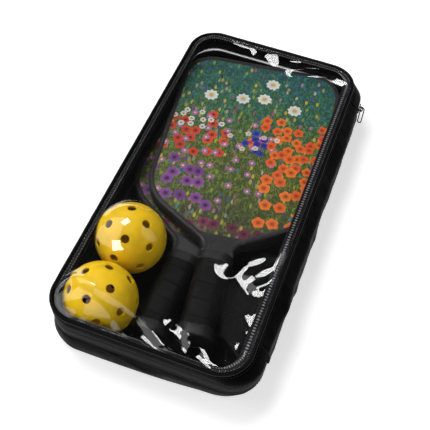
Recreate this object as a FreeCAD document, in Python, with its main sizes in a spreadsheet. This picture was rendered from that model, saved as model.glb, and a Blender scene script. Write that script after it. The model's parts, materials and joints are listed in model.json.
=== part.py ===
"""Soft carrying case for two court paddles and two hole balls.

The case lies on its back. X runs across it, Y along it towards the paddle heads, Z up.
The origin is the middle of the underside of the back panel. All sizes are in millimetres.
The tray (back panel, lower gusset) and the cover (clear window, upper gusset) meet at a zip
and turn about a fold in the gusset on the +X side.
"""
import FreeCAD, Part
import math
import os
import Sketcher

Vector = FreeCAD.Vector

doc = FreeCAD.newDocument("paddle_case")

# ---------------------------------------------------------------- driving sizes

DRIVING_SIZES = [
    # paddles
    ("paddle_length", 376.0, "top edge of the head to the end of the butt cap"),
    ("paddle_width", 190.0, "over the edge guard"),
    ("head_corner_radius", 36.0, "outer corners of the head"),
    ("shoulder_radius", 56.0, "where the sides turn into the shoulders"),
    ("throat_radius", 14.0, "inside corner between shoulder and neck"),
    ("shoulder_angle", 32.0, "degrees below square to the handle"),
    ("head_length", 266.0, "top edge of the head to the top of the grip"),
    ("core_thickness", 12.8, "honeycomb slab"),
    ("face_thickness", 0.6, "one face sheet"),
    ("guard_wall", 1.2, "edge guard, over the slab's edge"),
    ("guard_lip", 4.6, "edge guard, reach over each face"),
    ("guard_lip_wall", 1.0, "edge guard, over each face"),
    ("grip_width", 35.0, "across the handle, over the wrap"),
    ("grip_height", 27.0, "through the handle, over the wrap"),
    ("grip_wall", 1.6, "wrap thickness"),
    ("grip_corner", 12.0, "corner radius of the handle's section"),
    ("stub_width", 28.0, "slab inside the handle"),
    ("collar_wall", 0.5, "band over the top end of the wrap"),
    ("collar_length", 9.0, "band over the top end of the wrap"),
    ("cap_flare", 1.5, "butt cap, outside the wrap all round"),
    ("cap_length", 12.0, "butt cap, along the handle"),
    ("cap_rounding", 3.0, "edge of the butt cap's end"),
    ("upper_turn", 7.6, "degrees that the upper paddle lies turned in the case"),
    ("lower_drift", 6.56, "the lower butt cap lies this far to the balls' side of its head"),
    ("paddle_gap", 1.4, "between the two edge guards, one above the other"),
    # balls
    ("ball_diameter", 74.0, "outside"),
    ("ball_wall", 1.6, "shell thickness"),
    ("ball_hole_share", 0.13, "diameter of each hole, over the ball's"),
    ("ball_gap", 1.6, "between the two balls"),
    ("ball_side_room", 0.9, "ball to the case wall"),
    ("ball_end_room", 4.0, "ball to the case wall at the handle end"),
    ("ball_step", 1.8, "the upper ball lies this much nearer the wall"),
    # case
    ("wall", 1.6, "gusset cloth"),
    ("panel", 2.0, "back panel, cloth over a thin foam board"),
    ("side_gap", 0.7, "paddle heads to the case wall"),
    ("head_gap", 2.6, "paddle heads to the case wall at the head end"),
    ("butt_gap", 31.0, "butt caps to the case wall at the handle end"),
    ("lay_gap", 0.5, "contents above the back panel"),
    ("case_corner", 31.0, "outer corner radius of the tray, plan view"),
    ("top_corner", 31.0, "outer corner radius of the window, plan view"),
    ("case_depth", 60.0, "underside to the middle of the window's piping"),
    ("zip_height", 35.0, "underside to the middle of the zip"),
    ("cover_lean", 12.0, "the window's hinge-side edge lies this far inside the tray's"),
    ("film", 0.5, "clear window"),
    ("film_clearance", 0.8, "window above the balls"),
    ("piping", 4.6, "diameter of the piping round the window"),
    ("binding_wide", 8.5, "seam binding inside the window, hinge side"),
    ("binding_narrow", 4.0, "seam binding inside the window, other sides"),
    ("binding_wall", 0.8, "seam binding"),
    ("base_binding", 7.0, "seam binding inside the tray, height"),
    # zip
    ("zip_gap", 1.1, "between the two coils, where the slider's post runs"),
    ("coil_height", 1.8, "one coil, up the gusset"),
    ("coil_wall", 1.6, "one coil, through the gusset"),
    ("tape_wall", 0.8, "zip tape"),
    ("tape_height", 7.0, "zip tape that shows, one side"),
    ("zip_end_length", 14.0, "how far each end of the zip runs down the hinge side"),
    ("fold_gap", 0.4, "between the two halves of the hinge gusset"),
    ("seam_gap", 0.3, "between a hinge gusset and the gusset beside it"),
    ("hinge_proud", 4.0, "the fold bellies out this far beyond the gusset"),
    # slider and pull
    ("slider_length", 10.0, "along the zip"),
    ("slider_height", 10.0, "across the zip"),
    ("slider_plate", 1.1, "each plate"),
    ("slider_clearance", 0.55, "plate to coil, outer plate"),
    ("slider_inner_clearance", 0.9, "plate to coil, inner plate"),
    ("post_wall", 0.7, "post between the coils"),
    ("post_length", 3.0, "post between the coils"),
    ("crown_length", 7.0, "bridge that carries the pull"),
    ("crown_width", 2.2, "bridge that carries the pull"),
    ("crown_bore", 2.8, "clear height under the bridge"),
    ("crown_wall", 1.1, "bridge"),
    ("pull_length", 26.0, "loop of the pull, end to end"),
    ("pull_width", 5.5, "loop of the pull, outside"),
    ("pull_wire", 1.3, "thickness of the loop"),
    ("loop_flat", 0.35, "straight half-end of the loop between its round corners"),
    ("stop_length", 4.0, "stop at each end of the zip"),
]

sheet = doc.addObject("Spreadsheet::Sheet", "sizes")
for row, (size_name, size_value, size_note) in enumerate(DRIVING_SIZES, start=1):
    sheet.set("A%d" % row, size_name)
    sheet.set("B%d" % row, str(size_value))
    sheet.set("C%d" % row, size_note)
    sheet.setAlias("B%d" % row, size_name)
doc.recompute()


class Size:
    """A length, or an angle in degrees, with the sheet expression that gives it."""

    def __init__(self, value, text):
        self.value = float(value)
        self.text = text

    @staticmethod
    def of(other):
        if isinstance(other, Size):
            return other
        return Size(other, repr(float(other)))

    def join(self, sign, other, value):
        return Size(value, "(%s %s %s)" % (self.text, sign, Size.of(other).text))

    def __add__(self, other):
        return self.join("+", other, self.value + Size.of(other).value)

    def __radd__(self, other):
        return Size.of(other) + self

    def __sub__(self, other):
        return self.join("-", other, self.value - Size.of(other).value)

    def __rsub__(self, other):
        return Size.of(other) - self

    def __mul__(self, other):
        return self.join("*", other, self.value * Size.of(other).value)

    def __rmul__(self, other):
        return Size.of(other) * self

    def __truediv__(self, other):
        return self.join("/", other, self.value / Size.of(other).value)

    def __rtruediv__(self, other):
        return Size.of(other) / self

    def __neg__(self):
        return Size(-self.value, "(-1 * %s)" % self.text)


def sin(angle):
    return Size(math.sin(math.radians(angle.value)), "sin(%s * 1 deg)" % angle.text)


def cos(angle):
    return Size(math.cos(math.radians(angle.value)), "cos(%s * 1 deg)" % angle.text)


def tan(angle):
    return Size(math.tan(math.radians(angle.value)), "tan(%s * 1 deg)" % angle.text)


def turn_of(ratio):
    """The angle in degrees that has this sine."""
    return Size(math.degrees(math.asin(ratio.value)), "(asin(%s) / 1 deg)" % ratio.text)


def root(square):
    return Size(math.sqrt(square.value), "sqrt(%s)" % square.text)


def positive(size):
    """The size where it is above nothing, and otherwise nothing."""
    return Size(max(0.0, size.value), "max(0; %s)" % size.text)


def driving(name):
    return Size(float(sheet.get(name)), "sizes.%s" % name)


def bind(thing, prop, size):
    """Set a property from a size and keep it bound to the sheet."""
    thing.setExpression(prop, Size.of(size).text)


# ---------------------------------------------------------------- sizes worked out from them

paddle_length = driving("paddle_length")
head_length = driving("head_length")
half_head = driving("paddle_width") / 2
head_corner = driving("head_corner_radius")
guard_wall = driving("guard_wall")
core_thickness = driving("core_thickness")
face_thickness = driving("face_thickness")
slab_thickness = core_thickness + 2 * face_thickness
guard_thickness = slab_thickness + 2 * driving("guard_lip_wall")
grip_width = driving("grip_width")
grip_height = driving("grip_height")
grip_wall = driving("grip_wall")
grip_corner = driving("grip_corner")
cap_flare = driving("cap_flare")
cap_length = driving("cap_length")
half_neck = grip_width / 2 - grip_wall
half_core = half_head - guard_wall
shoulder_fall = (half_core - half_neck) * tan(driving("shoulder_angle"))
shoulder_corner = head_length - shoulder_fall
turn_off_side = 90 - driving("shoulder_angle")
side_end = shoulder_corner - driving("shoulder_radius") * tan(turn_off_side / 2)

wall = driving("wall")
panel = driving("panel")
side_gap = driving("side_gap")
upper_turn = driving("upper_turn")
lower_turn = turn_of(driving("lower_drift") / paddle_length)
case_depth = driving("case_depth")
zip_height = driving("zip_height")
tape_height = driving("tape_height")
cover_lean = driving("cover_lean")
half_coils = driving("zip_gap") / 2
coil_top = half_coils + driving("coil_height")
tape_top = coil_top + tape_height

lower_centre_z = panel + driving("lay_gap") + grip_height / 2 + cap_flare
upper_centre_z = lower_centre_z + guard_thickness + driving("paddle_gap")
lean_start = zip_height + tape_top
lean_share = positive((upper_centre_z + guard_thickness / 2 - lean_start)
                      / (case_depth - lean_start))
round_corners = head_corner + driving("shoulder_radius")
head_spread = (driving("paddle_width") * cos(upper_turn)
               + (side_end - head_corner) * sin(upper_turn)
               + round_corners * (1 - cos(upper_turn)))
inner_width = head_spread + 2 * side_gap + cover_lean * lean_share
case_width = inner_width + 2 * wall
half_width = case_width / 2
half_inner = inner_width / 2

head_rise = ((half_head - head_corner) * sin(upper_turn)
             + head_corner * (1 - cos(upper_turn)))
butt_reach = (paddle_length * cos(upper_turn)
              + (grip_width / 2 + cap_flare) * sin(upper_turn))
inner_length = head_rise + butt_reach + driving("head_gap") + driving("butt_gap")
case_length = inner_length + 2 * wall
half_length = case_length / 2
half_inner_length = inner_length / 2
case_corner = driving("case_corner")
top_corner = driving("top_corner")
spine_half = half_length - case_corner - driving("zip_end_length")

upper_x = (side_gap - half_inner + half_head * cos(upper_turn)
           + head_corner * (1 - cos(upper_turn) - sin(upper_turn)))
upper_y = half_inner_length - driving("head_gap") - head_rise
lower_x = side_gap - half_inner + half_head * cos(lower_turn) + side_end * sin(lower_turn)
lower_y = upper_y

ball_radius = driving("ball_diameter") / 2
low_ball_x = ball_radius + driving("ball_side_room") + driving("ball_step") - half_inner
low_ball_y = ball_radius + driving("ball_end_room") - half_inner_length
high_ball_x = low_ball_x - driving("ball_step")
high_ball_y = low_ball_y + 2 * ball_radius + driving("ball_gap")
ball_z = panel + driving("lay_gap") + ball_radius

top_width = case_width - cover_lean
top_shift = -cover_lean / 2
hinge_x = half_width + driving("hinge_proud")
slider_y = half_length - case_corner
slider_x = half_width - wall / 2
bridge_x = (driving("coil_wall") / 2 + driving("slider_clearance") + driving("slider_plate")
            + driving("crown_bore") + driving("crown_wall") / 2)

# ---------------------------------------------------------------- drawing helpers

body_list = []


def new_body(label):
    body = doc.addObject("PartDesign::Body", label)
    body.Label = label
    body_list.append(body)
    return body


def origin_feature(body, role):
    for feature in body.Origin.OriginFeatures:
        if feature.Role == role:
            return feature
    raise ValueError("no origin feature " + role)


def new_sketch(body, name, role="XY_Plane", level=0.0, across=0.0, up=0.0):
    """A sketch on one of the body's origin planes, moved along its normal and in its plane."""
    sketch = body.newObject("Sketcher::SketchObject", body.Name + "_" + name)
    sketch.AttachmentSupport = (origin_feature(body, role), [""])
    sketch.MapMode = "FlatFace"
    for axis, shift in (("x", across), ("y", up), ("z", level)):
        bind(sketch, "AttachmentOffset.Base." + axis, shift)
    return sketch


def unit(vector):
    return vector * (1.0 / vector.Length)


def pin(sketch, index, place, x, y):
    """Hold a point at x, y from the sketch's origin, each a size."""
    for kind, size in (("DistanceX", Size.of(x)), ("DistanceY", Size.of(y))):
        if abs(size.value) < 1e-9:
            axis = -2 if kind == "DistanceX" else -1
            sketch.addConstraint(Sketcher.Constraint("PointOnObject", index, place, axis))
            continue
        number = sketch.addConstraint(
            Sketcher.Constraint(kind, -1, 1, index, place, size.value))
        sketch.setExpression("Constraints[%d]" % number, size.text)


def draw_outline(sketch, corners, closed=True):
    """Straight runs from corner to corner, with an arc tangent to both runs at a rounded one.

    Each corner is (x, y, radius); a radius of 0 leaves it sharp. An open outline starts and
    ends sharp. The corners are construction points, and carry the sheet's sizes.
    """
    count = len(corners)
    points = [Vector(Size.of(x).value, Size.of(y).value, 0) for x, y, radius in corners]
    radii = [Size.of(radius) for x, y, radius in corners]
    arrive, leave, arcs = [], [], []
    for i in range(count):
        before = unit(points[i - 1] - points[i])
        after = unit(points[(i + 1) % count] - points[i])
        reach = 0.0
        if radii[i].value > 0:
            half = before.getAngle(after) / 2
            reach = radii[i].value / math.tan(half)
        arrive.append(points[i] + before * reach)
        leave.append(points[i] + after * reach)
        if radii[i].value > 0:
            centre = points[i] + unit(before + after) * (radii[i].value / math.sin(half))
            arcs.append((arrive[i], leave[i], centre))
        else:
            arcs.append(None)
    marks = []
    for i in range(count):
        mark = sketch.addGeometry(Part.Point(points[i]), True)
        pin(sketch, mark, 1, corners[i][0], corners[i][1])
        marks.append(mark)
    runs = []
    for i in range(count if closed else count - 1):
        follow = (i + 1) % count
        runs.append(sketch.addGeometry(Part.LineSegment(leave[i], arrive[follow]), False))
    for i, arc in enumerate(arcs):
        if arc is None:
            continue
        start, end, centre = arc
        turn_left = (start - centre).cross(end - centre).z > 0
        first, last = (start, end) if turn_left else (end, start)
        circle = Part.Circle(centre, Vector(0, 0, 1), radii[i].value)
        drawn = sketch.addGeometry(
            Part.ArcOfCircle(circle, circle.parameter(first), circle.parameter(last)), False)
        start_end = 1 if turn_left else 2
        sketch.addConstraint(Sketcher.Constraint("Tangent", runs[i - 1], 2, drawn, start_end))
        sketch.addConstraint(Sketcher.Constraint("Tangent", runs[i], 1, drawn, 3 - start_end))
        number = sketch.addConstraint(Sketcher.Constraint("Radius", drawn, radii[i].value))
        sketch.setExpression("Constraints[%d]" % number, radii[i].text)
        sketch.addConstraint(Sketcher.Constraint("PointOnObject", marks[i], 1, runs[i - 1]))
        sketch.addConstraint(Sketcher.Constraint("PointOnObject", marks[i], 1, runs[i]))
    for i, arc in enumerate(arcs):
        if arc is not None:
            continue
        if closed or i > 0:
            sketch.addConstraint(
                Sketcher.Constraint("Coincident", marks[i], 1, runs[i - 1], 2))
        if closed or i < count - 1:
            sketch.addConstraint(Sketcher.Constraint("Coincident", marks[i], 1, runs[i], 1))


def draw_box(sketch, low_x, high_x, low_y, high_y, radius=0):
    draw_outline(sketch, [(low_x, low_y, radius), (high_x, low_y, radius),
                          (high_x, high_y, radius), (low_x, high_y, radius)])


def draw_circle(sketch, radius, x=0, y=0):
    place = Vector(Size.of(x).value, Size.of(y).value, 0)
    drawn = sketch.addGeometry(
        Part.Circle(place, Vector(0, 0, 1), Size.of(radius).value), False)
    pin(sketch, drawn, 3, x, y)
    number = sketch.addConstraint(
        Sketcher.Constraint("Radius", drawn, Size.of(radius).value))
    sketch.setExpression("Constraints[%d]" % number, Size.of(radius).text)


def pad(body, sketch, length, name, both_ways=False):
    feature = body.newObject("PartDesign::Pad", body.Name + "_" + name)
    feature.Profile = sketch
    feature.Midplane = both_ways
    bind(feature, "Length", length)
    return feature


def pocket(body, sketch, name, length=None, both_ways=False, back=False):
    """Cut through everything, or to a depth, against the sketch's normal unless back."""
    feature = body.newObject("PartDesign::Pocket", body.Name + "_" + name)
    feature.Profile = sketch
    feature.Midplane = both_ways
    feature.Reversed = back
    if length is None:
        feature.Type = 1
    else:
        bind(feature, "Length", length)
    return feature


def loft(body, kind, sketches, name):
    feature = body.newObject(kind, body.Name + "_" + name)
    feature.Profile = sketches[0]
    feature.Sections = sketches[1:]
    feature.Ruled = True
    return feature


def place(body, x, y, z, turn=None):
    """Put a body in the case, turned about Z by an angle in degrees."""
    for axis, size in (("x", x), ("y", y), ("z", z)):
        bind(body, "Placement.Base." + axis, size)
    if turn is not None:
        body.Placement = FreeCAD.Placement(
            Vector(), FreeCAD.Rotation(Vector(0, 0, 1), turn.value))
        bind(body, "Placement.Rotation.Angle", turn)


# ---------------------------------------------------------------- the case's walls

def draw_plan(sketch, inset, width=case_width, shift=0, corner=case_corner, hinge_inset=None):
    """The case's outline seen from above, brought in by an inset."""
    right_inset = inset if hinge_inset is None else hinge_inset
    draw_box(sketch, shift - width / 2 + inset, shift + width / 2 - right_inset,
             inset - half_length, half_length - inset, corner - inset)


def ring(body, name, level, height, middle, thickness):
    """A band of wall standing at a level; middle is the inset of its middle surface."""
    sketch = new_sketch(body, name + "_plan", level=level)
    draw_plan(sketch, middle - thickness / 2)
    draw_plan(sketch, middle + thickness / 2)
    return pad(body, sketch, height, name)


def cut_spine(body):
    """Take the stretch between the two ends of the zip out of a band."""
    sketch = new_sketch(body, "spine_gap")
    draw_box(sketch, half_width - case_corner, half_width + wall,
             -spine_half, spine_half)
    return pocket(body, sketch, "spine_cut", both_ways=True)


def keep_spine(body):
    """Take everything but the stretch between the two ends of the zip out of a band."""
    reach = case_length
    inner = half_width - cover_lean - 2 * wall
    end = spine_half - driving("seam_gap")
    sketch = new_sketch(body, "spine_only")
    draw_outline(sketch, [(-reach, -reach, 0), (reach, -reach, 0), (reach, -end, 0),
                          (inner, -end, 0), (inner, end, 0), (reach, end, 0),
                          (reach, reach, 0), (-reach, reach, 0)])
    return pocket(body, sketch, "spine_trim", both_ways=True)


def leaning_wall(body):
    """The cover's wall from the top of its zip tape up to the window, leaning in."""
    for name, kind, inset in (("outside", "PartDesign::AdditiveLoft", 0),
                              ("inside", "PartDesign::SubtractiveLoft", wall)):
        low = new_sketch(body, name + "_low", level=lean_start)
        draw_plan(low, inset)
        high = new_sketch(body, name + "_high", level=case_depth - driving("piping") / 2)
        draw_plan(high, inset, top_width, top_shift, top_corner)
        loft(body, kind, [low, high], name)


def make_tray():
    back = new_body("back_panel")
    sketch = new_sketch(back, "plan")
    draw_plan(sketch, 0)
    pad(back, sketch, panel, "board")

    gusset = new_body("lower_gusset")
    ring(gusset, "wall", panel, zip_height - tape_top - panel, wall / 2, wall)
    cut_spine(gusset)

    spine = new_body("spine_lower")
    ring(spine, "wall", panel, zip_height - driving("fold_gap") / 2 - panel, wall / 2, wall)
    keep_spine(spine)

    binding = new_body("base_binding")
    ring(binding, "tape", panel, driving("base_binding"),
         wall + driving("binding_wall") / 2, driving("binding_wall"))

    tape = new_body("lower_zip_tape")
    ring(tape, "tape", zip_height - tape_top, tape_height, wall / 2, driving("tape_wall"))
    cut_spine(tape)

    coil = new_body("lower_zip_coil")
    ring(coil, "coil", zip_height - coil_top, driving("coil_height"),
         wall / 2, driving("coil_wall"))
    cut_spine(coil)

    for label, far_y in (("zip_top_stop", spine_half + driving("stop_length")),
                         ("zip_bottom_stop", -spine_half)):
        stop = new_body(label)
        sketch = new_sketch(stop, "plan", level=zip_height - coil_top)
        draw_box(sketch, half_width + driving("coil_wall") / 2 - wall / 2,
                 half_width + driving("coil_wall") / 2 + driving("tape_wall") - wall / 2,
                 far_y - driving("stop_length"), far_y)
        pad(stop, sketch, driving("coil_height"), "block")


def make_cover():
    gusset = new_body("upper_gusset")
    leaning_wall(gusset)
    cut_spine(gusset)

    spine = new_body("spine_upper")
    leaning_wall(spine)
    fold = zip_height + driving("fold_gap") / 2
    ring(spine, "foot", fold, lean_start - fold, wall / 2, wall)
    keep_spine(spine)

    slider_top = zip_height + driving("slider_height") / 2 + driving("seam_gap")
    for label, start, height, thickness in (
            ("upper_zip_tape", zip_height + coil_top, tape_height, driving("tape_wall")),
            ("upper_zip_coil", zip_height + half_coils, driving("coil_height"),
             driving("coil_wall"))):
        band = new_body(label)
        ring(band, "band", start, height, wall / 2, thickness)
        cut_spine(band)
        leave_slider_room(band, slider_top)

    make_window()


def leave_slider_room(band, top):
    """Clear the slider's closed place out of the cover's half of the zip, up to a level."""
    room = driving("slider_length") / 2 + driving("seam_gap")
    sketch = new_sketch(band, "slider_room", "YZ_Plane", half_width - case_corner)
    draw_box(sketch, slider_y - room, slider_y + room, zip_height, top)
    pocket(band, sketch, "slider_cut", length=case_corner + wall, back=True)


def make_window():
    film_wall = driving("film")
    seam = driving("piping") / 2 + wall / 2
    film = new_body("window_film")
    sketch = new_sketch(film, "plan", level=case_depth)
    draw_plan(sketch, seam, top_width, top_shift, top_corner)
    pad(film, sketch, film_wall, "sheet")
    dome_inner = ball_radius + driving("film_clearance")
    dome_outer = dome_inner + film_wall
    dome_foot = case_depth - ball_z
    foot_inner = root(dome_inner * dome_inner - dome_foot * dome_foot)
    foot_outer = root(dome_outer * dome_outer - dome_foot * dome_foot)
    for name, x, y in (("low", low_ball_x, low_ball_y), ("high", high_ball_x, high_ball_y)):
        opening = new_sketch(film, name + "_opening", level=case_depth)
        draw_circle(opening, foot_inner, x, y)
        pocket(film, opening, name + "_hole", both_ways=True)
    for name, x, y in (("low", low_ball_x, low_ball_y), ("high", high_ball_x, high_ball_y)):
        profile = new_sketch(film, name + "_dome_profile", "XZ_Plane", -y, x, ball_z)
        draw_dome(profile, dome_inner, dome_outer, foot_inner, foot_outer, dome_foot)
        dome = film.newObject("PartDesign::Revolution", film.Name + "_" + name + "_dome")
        dome.Profile = profile
        dome.ReferenceAxis = (profile, ["V_Axis"])
        dome.Angle = 360

    cord = new_body("window_piping")
    path = new_sketch(cord, "path", level=case_depth)
    draw_plan(path, wall / 2, top_width, top_shift, top_corner)
    section = new_sketch(cord, "section", "XZ_Plane")
    draw_circle(section, driving("piping") / 2,
                top_shift + top_width / 2 - wall / 2, case_depth)
    sweep = cord.newObject("PartDesign::AdditivePipe", "window_piping_sweep")
    sweep.Profile = section
    sweep.Spine = path

    binding = new_body("window_binding")
    sketch = new_sketch(binding, "plan", level=case_depth - driving("binding_wall"))
    draw_plan(sketch, seam, top_width, top_shift, top_corner)
    draw_plan(sketch, seam + driving("binding_narrow"), top_width, top_shift, top_corner,
              hinge_inset=seam + driving("binding_wide"))
    pad(binding, sketch, driving("binding_wall"), "tape")


def draw_dome(sketch, inner, outer, foot_inner, foot_outer, foot_level):
    """Half the section of a dome's shell, from its foot to the axis."""
    flat = Vector(0, 0, 1)
    centre = Vector(0, 0, 0)
    arcs = []
    for radius, foot in ((inner, foot_inner), (outer, foot_outer)):
        start = math.atan2(foot_level.value, foot.value)
        arc = Part.ArcOfCircle(Part.Circle(centre, flat, radius.value), start, math.pi / 2)
        arcs.append(sketch.addGeometry(arc, False))
    inner_arc, outer_arc = arcs
    level = foot_level.value
    foot_line = sketch.addGeometry(Part.LineSegment(
        Vector(foot_inner.value, level, 0), Vector(foot_outer.value, level, 0)), False)
    top_line = sketch.addGeometry(Part.LineSegment(
        Vector(0, outer.value, 0), Vector(0, inner.value, 0)), False)
    for arc, radius in ((inner_arc, inner), (outer_arc, outer)):
        sketch.addConstraint(Sketcher.Constraint("Coincident", arc, 3, -1, 1))
        number = sketch.addConstraint(Sketcher.Constraint("Radius", arc, radius.value))
        sketch.setExpression("Constraints[%d]" % number, radius.text)
    sketch.addConstraint(Sketcher.Constraint("Coincident", inner_arc, 1, foot_line, 1))
    sketch.addConstraint(Sketcher.Constraint("Coincident", outer_arc, 1, foot_line, 2))
    sketch.addConstraint(Sketcher.Constraint("Coincident", outer_arc, 2, top_line, 1))
    sketch.addConstraint(Sketcher.Constraint("Coincident", inner_arc, 2, top_line, 2))
    sketch.addConstraint(Sketcher.Constraint("PointOnObject", top_line, 1, -2))
    sketch.addConstraint(Sketcher.Constraint("PointOnObject", top_line, 2, -2))
    sketch.addConstraint(Sketcher.Constraint("Horizontal", foot_line))
    number = sketch.addConstraint(
        Sketcher.Constraint("DistanceY", -1, 1, foot_line, 1, level))
    sketch.setExpression("Constraints[%d]" % number, foot_level.text)


# ---------------------------------------------------------------- slider and pull

def make_slider():
    """Drawn about the middle of the zip: X outwards, Y along the zip, Z across it."""
    slider = new_body("zip_slider")
    half_long = driving("slider_length") / 2
    half_high = driving("slider_height") / 2
    plate = driving("slider_plate")
    outer = driving("coil_wall") / 2 + driving("slider_clearance")
    inner = driving("coil_wall") / 2 + driving("slider_inner_clearance")
    for name, low in (("outer", outer), ("inner", -inner - plate)):
        sketch = new_sketch(slider, name + "_plate_plan", "YZ_Plane", low)
        draw_box(sketch, -half_long, half_long, -half_high, half_high, 3)
        if name == "outer":
            pad(slider, sketch, plate, name + "_plate")
            post = new_sketch(slider, "post_plan", "YZ_Plane", -inner - plate)
            half_post = driving("post_wall") / 2
            draw_box(post, -half_long + 1, -half_long + 1 + driving("post_length"),
                     -half_post, half_post)
            pad(slider, post, inner + plate + outer + plate / 2, "post")
        else:
            pad(slider, sketch, plate, name + "_plate")
    base = outer + plate
    half_crown = driving("crown_length") / 2
    half_wide = driving("crown_width") / 2
    height = driving("crown_bore") + driving("crown_wall")
    crown = new_sketch(slider, "crown_plan", "YZ_Plane", base - plate / 2)
    draw_box(crown, -half_crown, half_crown, -half_wide, half_wide)
    pad(slider, crown, height + plate / 2, "crown")
    eye = new_sketch(slider, "crown_eye", "XZ_Plane", 0)
    draw_box(eye, base, base + driving("crown_bore"), -half_wide * 2, half_wide * 2)
    reach = half_crown - driving("crown_wall")
    pocket(slider, eye, "eye_cut", length=2 * reach, both_ways=True)
    place(slider, slider_x, slider_y, zip_height)


def make_pull():
    """A wire loop that hangs on the bridge, edge on to the gusset."""
    loop = new_body("zip_pull")
    wire = driving("pull_wire")
    half_wide = driving("pull_width") / 2
    top = half_wide
    corner = half_wide - driving("loop_flat")
    sketch = new_sketch(loop, "plan", "XZ_Plane")
    draw_box(sketch, bridge_x - half_wide, bridge_x + half_wide,
             top - driving("pull_length"), top, corner)
    draw_box(sketch, bridge_x - half_wide + wire, bridge_x + half_wide - wire,
             top - driving("pull_length") + wire, top - wire, corner - wire)
    pad(loop, sketch, wire, "loop", both_ways=True)
    place(loop, slider_x, slider_y, zip_height)


# ---------------------------------------------------------------- paddles

def head_corners(grow, stub_end):
    """The head's outline with its neck, brought out or in from the slab's own outline."""
    slope = driving("shoulder_angle")
    fall = grow / cos(slope) - grow * tan(slope)
    right = [(half_core + grow, grow - guard_wall, head_corner - guard_wall + grow),
             (half_core + grow, -shoulder_corner - fall, driving("shoulder_radius") + grow),
             (half_neck + grow, -head_length - fall, driving("throat_radius") - grow),
             (half_neck + grow, -stub_end, 0)]
    left = [(-x, y, radius) for x, y, radius in reversed(right)]
    return right + left


def make_edge_guard(label):
    """A channel round the head: a web over the edge and a lip over each face."""
    guard = new_body(label)
    neck_end = head_length + driving("throat_radius")
    sketch = new_sketch(guard, "ring", level=-guard_thickness / 2)
    draw_outline(sketch, head_corners(guard_wall, neck_end))
    draw_outline(sketch, head_corners(-driving("guard_lip"), neck_end - driving("guard_lip")))
    pad(guard, sketch, guard_thickness, "channel")
    slot = new_sketch(guard, "slot_plan")
    draw_outline(slot, head_corners(Size.of(0), neck_end))
    pocket(guard, slot, "slot", length=slab_thickness, both_ways=True)
    neck = new_sketch(guard, "neck_plan")
    half_opening = half_neck + driving("throat_radius")
    draw_box(neck, -half_opening, half_opening, -neck_end - wall, -shoulder_corner)
    pocket(guard, neck, "neck_cut", both_ways=True)
    return guard


def handle_section(sketch, grow):
    """The handle's rounded section, brought out or in all round."""
    corner = grip_corner + grow
    draw_box(sketch, -grip_width / 2 - grow, grip_width / 2 + grow,
             -grip_height / 2 - grow, grip_height / 2 + grow, corner)


def make_paddle(prefix, x, y, z, turn):
    parts = []
    grip_end = paddle_length - cap_length
    neck_end = head_length + driving("throat_radius")

    core = new_body(prefix + "_core")
    sketch = new_sketch(core, "outline", level=-core_thickness / 2)
    corners = head_corners(Size.of(0), neck_end)
    half_stub = driving("stub_width") / 2
    stub = [(half_stub, -neck_end, 0), (half_stub, -grip_end, 0),
            (-half_stub, -grip_end, 0), (-half_stub, -neck_end, 0)]
    draw_outline(sketch, corners[:4] + stub + corners[4:])
    pad(core, sketch, core_thickness, "slab")
    parts.append(core)

    for name, level in (("front_face", core_thickness / 2),
                        ("back_face", -core_thickness / 2 - face_thickness)):
        face = new_body(prefix + "_" + name)
        sketch = new_sketch(face, "outline", level=level)
        draw_outline(sketch, head_corners(Size.of(0), neck_end))
        pad(face, sketch, face_thickness, "sheet")
        parts.append(face)

    parts.append(make_edge_guard(prefix + "_edge_guard"))

    for name, grow, hollow, start, end in (
            ("handle_pads", -grip_wall, None, neck_end, grip_end),
            ("grip", 0, -grip_wall, neck_end, grip_end),
            ("grip_collar", driving("collar_wall"), 0, neck_end,
             neck_end + driving("collar_length")),
            ("butt_cap", cap_flare, None, grip_end, paddle_length)):
        piece = new_body(prefix + "_" + name)
        sketch = new_sketch(piece, "section", "XZ_Plane", start)
        handle_section(sketch, grow)
        if hollow is not None:
            handle_section(sketch, hollow)
        pad(piece, sketch, end - start, "length")
        if name == "handle_pads":
            slot = new_sketch(piece, "slot_section", "XZ_Plane", start)
            draw_box(slot, -grip_width, grip_width, -core_thickness / 2, core_thickness / 2)
            pocket(piece, slot, "slot", back=True)
        if name == "butt_cap":
            doc.recompute()
            round_end(piece)
        parts.append(piece)

    for part in parts:
        place(part, x, y, z, turn)


def round_end(cap):
    """Round the edge of the butt cap's free end."""
    block = cap.Tip
    edges = block.Shape.Edges
    low = min(edge.CenterOfMass.y for edge in edges)
    names = []
    for number, edge in enumerate(edges, start=1):
        if edge.CenterOfMass.y < low + 0.01:
            names.append("Edge%d" % number)
    rounding = cap.newObject("PartDesign::Fillet", cap.Name + "_rounding")
    rounding.Base = (block, names)
    bind(rounding, "Radius", driving("cap_rounding"))


# ---------------------------------------------------------------- balls

BALL_ROWS = [
    # degrees above the equator, holes in the row, degrees round to the first hole
    (62.0, 4, 20.0),
    (22.0, 9, 0.0),
    (-22.0, 9, 20.0),
    (-62.0, 4, 65.0),
]


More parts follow.
